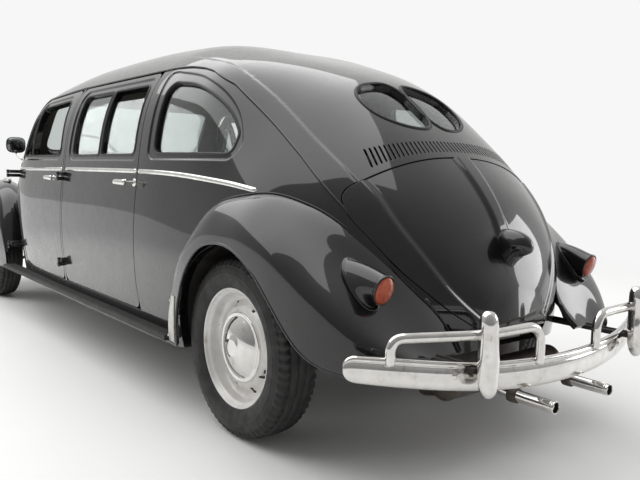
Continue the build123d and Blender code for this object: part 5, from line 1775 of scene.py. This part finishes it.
def make_bumper(name, end, tip, sign, frame_y):
    centre = end - sign * 24
    # The blade: a rolled channel along its arc
    section = [(-13, 0.04), (-10, 0.005), (-5, 0.0), (0, 0.03), (3.4, 0.1), (5.6, 0.2), (6.8, 0.32),
        (7.2, 0.45), (6.6, 0.57), (5, 0.67), (2.6, 0.745), (0.8, 0.775)]
    section += [(1.6, 0.8), (4.6, 0.83), (5.8, 0.875), (5.0, 0.925), (2, 0.97), (-3, 0.995), (-9, 1.0),
        (-13, 0.96), (-12, 0.94), (-6, 0.96), (0, 0.9), (-3, 0.78), (2.0, 0.55), (3.0, 0.4), (1.0, 0.15),
        (-3, 0.05), (-12, 0.07)]
    rows = []
    for x in np.r_[-BLADE_TIP + 12 * (1 - np.cos(np.linspace(0, math.pi / 2, 9))),
        np.linspace(-BLADE_TIP + 24, BLADE_TIP - 24, 150),
            BLADE_TIP - 12 * (1 - np.cos(np.linspace(math.pi / 2, 0, 9)))]:
        top, low = blade_top(x), blade_low(x)
        near = min(1.0, (BLADE_TIP + 0.4 - abs(x)) / 30)
        squeeze = math.sqrt(max(0.0, 1 - (1 - near) ** 2))
        low -= BLADE_DROP
        mid, half = (top + low) / 2, (top - low) / 2 * (0.1 + 0.9 * squeeze)
        y = blade_y(x, centre, tip)
        slope = (blade_y(x + 1, centre, tip) - blade_y(x - 1, centre, tip)) / 2
        out = np.array((-slope * sign, sign * 1.0)) / math.hypot(slope, 1)
        row = []
        for off, share in section:
            d = off * (0.35 + 0.65 * squeeze) - 7
            row.append((x + out[0] * d, y + out[1] * d, mid + half * (2 * share - 1)))
        rows.append(row)
    blade = welded(grid_piece(f"{name}_bumper_blade", rows, "chrome", wrap=True, cap=True))
    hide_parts(f"{name}_bumper")
    back = end - sign * 62
    for side, s in (("left", 1), ("right", -1)):
        x = OVERRIDER_X * s
        # The overrider: a rounded horn with a flared skirt over the blade
        keys = [(319.5, 861, 3, 2), (321, 861, 13, 9), (327, 861, 20, 14), (340, 860, 28, 20),
            (362, 858, 31, 24), (392, 857, 32, 26.5), (412, 856.5, 32, 27.5), (432, 856, 30.5, 27.5),
            (450, 855, 28.5, 27), (478, 854, 27, 26), (510, 853, 26, 25.5), (536, 852, 24.5, 24),
            (551, 851, 20, 20), (559, 850, 13, 14), (562.4, 849, 5.5, 6.5), (562.9, 849, 0.5, 0.5)]
        stations = []
        for z, y, wide, deep in spline(keys, 46):
            z, wide, deep = min(max(z, OVERRIDER_LOW), OVERRIDER_HIGH), max(wide, 0.4), max(deep, 0.4)
            place = end - sign * (884 - y) if sign > 0 else end + (884 - y)
            stations.append(((x, place, z), wide, deep, (0, 0, 1)))
        horn = lofted(f"{name}_{side}_overrider", stations, "chrome", power=2.35, count=40)
        # The hoop: a bent bar from foot to foot through the horn
        ends = sorted((x - HOOP_HALF, x + HOOP_HALF))
        feet = [blade_y(e, centre, tip) - sign * 3 for e in ends]
        toes = [blade_top(e) - 24 for e in ends]
        path = [(ends[0], feet[0], toes[0]), (ends[0], feet[0], HOOP_Z), (x, back + sign * 14, HOOP_Z),
            (ends[1], feet[1], HOOP_Z), (ends[1], feet[1], toes[1])]
        bent = corner_path(path, HOOP_BEND)
        run = 6.0 * len(bent)
        hoop = swept(f"{name}_{side}_hoop", bent, rounded_ends(circle(HOOP_RADIUS, 20), run, 11), "chrome")
        for k, off in enumerate((-BOLT_OFFSET, BOLT_OFFSET)):
            bx = x + off
            y = blade_y(bx, centre, tip)
            z = (blade_top(bx) + blade_low(bx)) / 2
            head = [(0.01, 8.5), (4.5, 8.2), (8, 6.5), (10.2, 3.5), (11, 0.5), (11, -3)]
            turned_piece(f"{name}_{side}_blade_bolt_{k}", head, (bx, y - sign * 4, z), "chrome", segments=28,
                direction=(0, sign, 0))
        y0, y1 = sorted((frame_y, back + sign * 4))
        soft_box(f"{name}_{side}_bumper_iron", (x - 24, y0, 381), (x + 24, y1, 397), 3.0, "chassis")
        # Ribs that stiffen the bracket
        soft_box(f"{name}_{side}_bumper_iron_rib", (x - 4, y0, 376.5), (x + 4, y1, 401.5), 2.0, "chassis")


def make_exhaust():
    silencer = [(0.01, -299), (30, -299), (46, -296), (51, -288), (52, -280), (52, -276), (50.4, -272),
        (50.4, 272), (52, 276), (52, 280), (51, 288), (46, 296), (30, 299), (0.01, 299)]
    pieces = [turned_piece("drum", silencer, (0, 596, 268), "exhaust_skin", segments=64)]
    for sign in (1, -1):
        x = sign * 150
        path = corner_path([(x, 600, 280), (x, 760, 256), (x, 912, 256)], 70, 8.0)
        pipe = tube("pipe", path[:-1], 18.9, "chrome", count=28)
        # The bore is dark: soot on its wall, and painted shade on the disc that closes it where the pipe
        # would run on
        lip = [(18.9, 900), (18.9, 910.5), (18.2, 912), (16.8, 911.6), (16.3, 909), (16.3, 840), (0.01, 838)]
        mouth = turned_piece("mouth", lip, (x, 0, 256), ("chrome", "dark"), segments=40, face_mats=lambda i,
            j: 1 if j > 3 else 0, direction=(0, 1, 0))
        collar = [(19, 748), (23, 750), (24, 755), (24, 775), (23, 780), (19, 782)]
        clamp = turned_piece("clamp", collar, (x, 0, 256), "exhaust_skin", segments=36, direction=(0, 1, 0))
        head = sign * 235
        low = corner_path([(head, 596, 240), (head, 460, 206), (head, 460, 249)], 20, 6.0)
        pieces += [pipe, mouth, clamp, tube("header", low, 17.9, "exhaust_skin", count=22)]
    exhaust = joined("exhaust_run", pieces)
    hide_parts("exhaust")


# Nose
NOSE_LID = [(-760, 470), (-650, 520), (-500, 600), (-250, 680), (0, 765), (300, 850), (534, 897)]


# The turned front wheels need the pressing under the lid to end above them
TURNING_REACH, TURNING_TOP = 392.0, 672.0


def make_nose():
    """The luggage lid and the pressing under it, to each side of the lid's curved edge."""
    base = NOSE.girth / 2
    ahead = NOSE_SHIFT
    ys = np.arange(-690, 531, 12.0)
    zs = np.interp(ys, *np.array(NOSE_LID).T)
    edge, low, foot = [], [], []
    for y, z in zip(ys, zs):
        v, p = NOSE.row(y + ahead)
        half = v <= base
        up = np.interp(z, p[half, 2], v[half])
        if p[half, 2].max() > z + 4:
            edge.append((y + ahead, up + 3))
            low.append((y + ahead, up - 3))
            clear = abs(y) < TURNING_REACH
            over = min(np.interp(TURNING_TOP, p[half, 2], v[half]), up - 40)
            foot.append((y + ahead, over if clear else 8.0))
    edge, low = softened(np.array(edge), 2), softened(np.array(low), 2)
    loop = resampled(across([tuple(e) for e in edge], NOSE), 9.0)
    lid = patch("luggage_lid_skin", nose_lid_point, loop, (), 17.0, 22.0, ("paint", "dark"), "luggage_lid",
        nose_fine)
    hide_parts("luggage_lid")
    side = resampled([tuple(e) for e in low] + foot[::-1], 9.0)
    left = patch("left_nose_skin", nose_point, side, (), 22.0, 14.0, ("paint", "dark"))
    right = mirrored(left, "right_nose_skin")


def nose_relief(p, uv):
    """A raised rib down the middle of the luggage lid, between two creases."""
    return 6.0 * (1 - step(np.abs(p[:, 0]), 16, 44)) * step(p[:, 1] - NOSE_SHIFT, -620, -480)


nose_lid_point = raised(NOSE, nose_relief)
nose_fine = [[(u, NOSE.girth / 2 + s * d) for u in np.arange(-600 + NOSE_SHIFT, 520 + NOSE_SHIFT,
    14.0)] for s in (1, -1) for d in (14, 20, 26, 32, 38, 46)]

# Cabin


def rounded_block(size, bevel, voxel):
    """An even mesh of a block with soft edges about the origin; sizes in mm."""
    import bmesh

    bm = bmesh.new()
    bmesh.ops.create_cube(bm, size=1.0)
    bmesh.ops.scale(bm, vec=Vector(size) * MM, verts=bm.verts)
    bmesh.ops.bevel(bm, geom=list(bm.edges), offset=bevel * MM, segments=4, affect="EDGES", profile=0.5)
    mesh = bpy.data.meshes.new("block")
    bm.to_mesh(mesh)
    bm.free()
    obj = bpy.data.objects.new("block", mesh)
    bpy.context.scene.collection.objects.link(obj)
    even = obj.modifiers.new("even", "REMESH")
    even.mode, even.voxel_size = "VOXEL", voxel * MM
    return settled(obj)


def settled(obj):
    """Makes what an object's modifiers give its own mesh."""
    view = bpy.context.evaluated_depsgraph_get()
    mesh = bpy.data.meshes.new_from_object(obj.evaluated_get(view))
    obj.modifiers.clear()
    obj.data = mesh
    return obj


def coordinates(mesh):
    out = np.empty(len(mesh.vertices) * 3)
    mesh.vertices.foreach_get("co", out)
    return out.reshape(-1, 3)


def inflated(obj, most):
    """Fills a closed block like a cushion, each point moving no further than a distance in mm."""
    start = coordinates(obj.data)
    filling = obj.modifiers.new("filling", "CLOTH")
    filling.settings.use_pressure = True
    filling.settings.uniform_pressure_force = 4.0
    filling.settings.quality = 4
    filling.settings.effector_weights.gravity = 0.0
    filling.settings.tension_stiffness = filling.settings.compression_stiffness = 10.0
    for f in range(1, 17):
        bpy.context.scene.frame_set(f)
    settled(obj)
    bpy.context.scene.frame_set(1)
    move = coordinates(obj.data) - start
    length = np.linalg.norm(move, axis=1)[:, None]
    placed = start + move * np.minimum(1, most * MM / np.maximum(length, 1e-9))
    obj.data.vertices.foreach_set("co", placed.ravel())
    return obj


# Cushions, in mm: how far the stuffing moves the cover, the sewn channels, and the piping
FILL_REACH = 11.0
CHANNEL_DEPTH, CHANNEL_REACH = 7.0, 7.0
CROWN_RISE = 3.0
PIPING_RADIUS = 4.0


def cushion(name, size, centre, tilt, pleats, node):
    """A stuffed cushion with sewn channels across its face and piping round its edge."""
    size = np.asarray(size, float)
    obj = rounded_block(size - 16, min(size) * 0.32, 15.0)
    inflated(obj, FILL_REACH)
    at = coordinates(obj.data) / MM
    half = size / 2
    crown = np.clip(1 - (at[:, 0] / half[0]) ** 4, 0, 1) * np.clip(1 - (at[:, 1] / half[1]) ** 4, 0, 1)
    top = np.clip(at[:, 2] / half[2], 0, 1) ** 2 * crown
    low, high = -half[0] * 0.86, half[0] * 0.86
    for x in np.linspace(low, high, pleats):
        at[:, 2] -= top * CHANNEL_DEPTH * np.exp(-(((at[:, 0] - x) / CHANNEL_REACH) ** 2))
    at[:, 2] += top * CROWN_RISE
    at = np.clip(at, -half, half)
    edge = rounded([(half[0], half[1]), (-half[0], half[1]), (-half[0], -half[1]), (half[0], -half[1])],
        min(size) * 0.3, 22.0)
    seam = []
    for x, y in edge:
        q = np.array((x, y, half[2] * 0.55))
        near = np.argsort(((at - q) ** 2).sum(1))[:5]
        seam.append(at[near].mean(0))
    seam = np.array(seam)
    ends = np.roll(seam, 1, 0) + np.roll(seam, -1, 0)
    seam = (seam * 2 + ends) / 4
    turn = np.array(Matrix.Rotation(math.radians(tilt), 3, "X"))
    placed = at @ turn.T + np.asarray(centre, float)
    obj.data.vertices.foreach_set("co", shifted(placed).ravel())
    obj.name = name
    obj.data.materials.clear()
    obj.data.materials.append(MATERIALS["cloth"])
    obj.data.polygons.foreach_set("use_smooth", np.full(len(obj.data.polygons), True))
    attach(obj, "body")
    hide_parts(node)
    tube(f"{name}_piping", seam @ turn.T + np.asarray(centre, float), PIPING_RADIUS, "trim", closed=True,
        count=8)


def make_seats():
    for side, x in (("left", 320), ("right", -320)):
        cushion(f"{side}_front_seat_cushion", (496, 484, 128), (x, -1935, 406), 0, 7, "front_seats")
        cushion(f"{side}_front_seat_back", (486, 534, 88), (x, -1690, 690), 76, 7, "front_seats")
        soft_box(f"{side}_front_seat_base", (x - 198, -2118, 292), (x + 198, -1742, 340), 8, "chassis")
        for k, (dx, dy) in enumerate(((-180, -2090), (180, -2090), (-180, -1770), (180, -1770))):
            tube(f"{side}_front_seat_leg_{k}", [(x + dx, dy, 268), (x + dx, dy, 296)], 11.0, "chassis")
    cushion("rear_bench_cushion", (1090, 470, 144), (0, -660, 408), 0, 13, "rear_bench")
    cushion("rear_bench_back", (1100, 500, 106), (0, -372, 690), 74, 13, "rear_bench")
    soft_box("rear_bench_base", (-498, -858, 290), (498, -482, 338), 8, "trim")
    for k, (x, y) in enumerate(((-455, -820), (455, -820), (-455, -520), (455, -520))):
        tube(f"rear_bench_leg_{k}", [(x, y, 268), (x, y, 294)], 14.0, "chassis")


def make_dashboard():
    pieces = [soft_box("panel", (-562, -2700, 792), (562, -2600, 972), 16, "plastic", segments=5)]
    pieces.append(soft_box("shelf", (-556, -2704, 776), (556, -2640, 800), 8, "plastic"))
    bezel = [(64, 0), (67, 4), (66, 8.5), (62, 9.6), (58, 8), (56, 4)]
    pieces.append(turned_piece("bezel", bezel, (340, -2602, 884), "bright", segments=48, direction=(0, 1, 0)))
    pieces.append(turned_piece("dial", [(0.01, 5.6), (8, 5.6), (9, 3.2), (57, 3.2)], (340, -2602, 884),
        ("bright", "dark"), segments=48, face_mats=lambda i, j: 0 if j < 2 else 1, direction=(0, 1, 0)))
    for x in np.linspace(-150, 150, 16):
        pieces.append(soft_box("grille", (x - 3.2, -2604, 832), (x + 3.2, -2596, 936), 2.2, "bright",
            segments=2))
    for x, z in ((232, 884), (232, 836), (-262, 884)):
        knob = [(4, 0), (4, 6), (12, 7), (13.5, 12), (12, 18), (6, 20), (0.01, 20.4)]
        pieces.append(turned_piece("knob", knob, (x, -2602, z), "plastic", segments=28, direction=(0, 1, 0)))
    lid = [(-540, 838), (-318, 838), (-318, 938), (-540, 938)]
    path = [(x, -2599, z) for x, z in rounded(lid, 18, 8.0)]
    pieces.append(swept("locker", path, circle(2.6, 8), "bright", closed=True))
    foot, centre = np.array((340.0, -2640.0, 790.0)), np.array((340.0, -2300.0, 945.0))
    unit = (centre - foot) / np.linalg.norm(centre - foot)
    pieces.append(tube("column", [foot, centre - unit * 27], 20.0, "plastic", count=24))
    dash = joined("dashboard_panel", pieces)
    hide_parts("dashboard")
    body = "steering_wheel"
    up = np.array((0.0, -unit[2], unit[1]))
    turns = np.linspace(0, 2 * math.pi, 96, endpoint=False)
    ring = np.array([centre + 198 * (math.cos(a) * np.array((1.0, 0, 0)) + math.sin(a) * up) for a in turns])
    grip = lambda s: [(k * (1 + 0.07 * math.cos(s * 2 * math.pi * 36)), w) for k, w in circle(10.0, 14)]
    rim = swept("rim", ring, grip, "plastic", body, closed=True)
    hub = turned_piece("hub", [(0.01, 14), (14, 14), (20, 11), (30, 8), (34, 2), (34, -10), (26, -24),
        (0.01, -25.5)], centre, ("plastic", "bright"), body, 48, lambda i, j: 1 if j < 2 else 0,
        direction=unit)
    parts = [rim, hub]
    for s in (1, -1):
        for off in (-5, 0, 5):
            start = centre + np.array((s * 26, 0, 0)) + up * off * 0.7
            end = centre + np.array((s * 190, 0, 0)) + up * off * 2.4
            mid = (start + end) / 2 - unit * 5
            parts.append(tube("spoke", spline([start, mid, end], 12), 2.4, "bright", body, count=8))
    wheel = joined("steering_wheel_piece", parts)
    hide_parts("steering_wheel")


def make_wheelhouses():
    """The inner arch over each rear wheel, closed against the cabin."""
    rows = []
    for a in np.radians(np.linspace(6, 192, 64)):
        c, s = math.cos(a), math.sin(a)
        wide = max(half_width(BODY, 370 * c, WHEEL_Z + 370 * s) - 5, 524)
        section = [(wide, 370), ((wide + 524) / 2, 370), (min(wide, 530), 370), (524, 366), (523, 355),
            (522, 200), (522, 60), (522, 2)]
        rows.append([(x, r * c, max(WHEEL_Z + r * s, 240)) for x, r in section])
    shell = grid_piece("left_wheelhouse", rows, "chassis")
    mirrored(shell, "right_wheelhouse")


def make_firewall():
    """The bulkheads behind the bench and ahead of the dashboard."""
    for name, y, low, high in (("rear_bulkhead", 176, 405, 900), ("front_bulkhead", -2730, 240, 930)):
        left = []
        for z in np.linspace(low, high, 12):
            wide = half_width(BODY, y, z) - 36
            left.append((max(wide, 60), z))
        rows = [[(x * t, y, z) for t in np.linspace(-1, 1, 9)] for x, z in left]
        back = [[(x * t, y + 3, z) for t in np.linspace(-1, 1, 9)] for x, z in left]
        grid_piece(name, [a + b[::-1] for a, b in zip(rows, back)], "trim", wrap=True, cap=True)


def dress_frame():
    """Finishes for the CAD pieces that stay in view."""
    plain = {"floor_pan": "chassis", "front_tray": "chassis", "front_axle": "chassis", "rear_axle": "chassis"}
    plain.update({"left_knuckle": "chassis", "right_knuckle": "chassis", "engine": "cast_metal"})
    for node, obj in frame["nodes"].items():
        mat = MATERIALS[plain.get(node, "dark")]
        for k in range(max(1, len(obj.material_slots))):
            if k < len(obj.material_slots):
                obj.material_slots[k].material = mat
            else:
                obj.data.materials.append(mat)


make_belt()
make_drip_rail()
make_seals()
make_handles()
make_hinges()
make_guards()
make_boards()
make_lamps()
make_mirrors()
make_wheels()
make_bumper("rear", 884.0, 675.0, 1, 500.0)
make_bumper("front", -4087.0, -3910.0, -1, -3860.0)
make_exhaust()
make_nose()
make_seats()
make_dashboard()
make_wheelhouses()
make_firewall()
dress_frame()
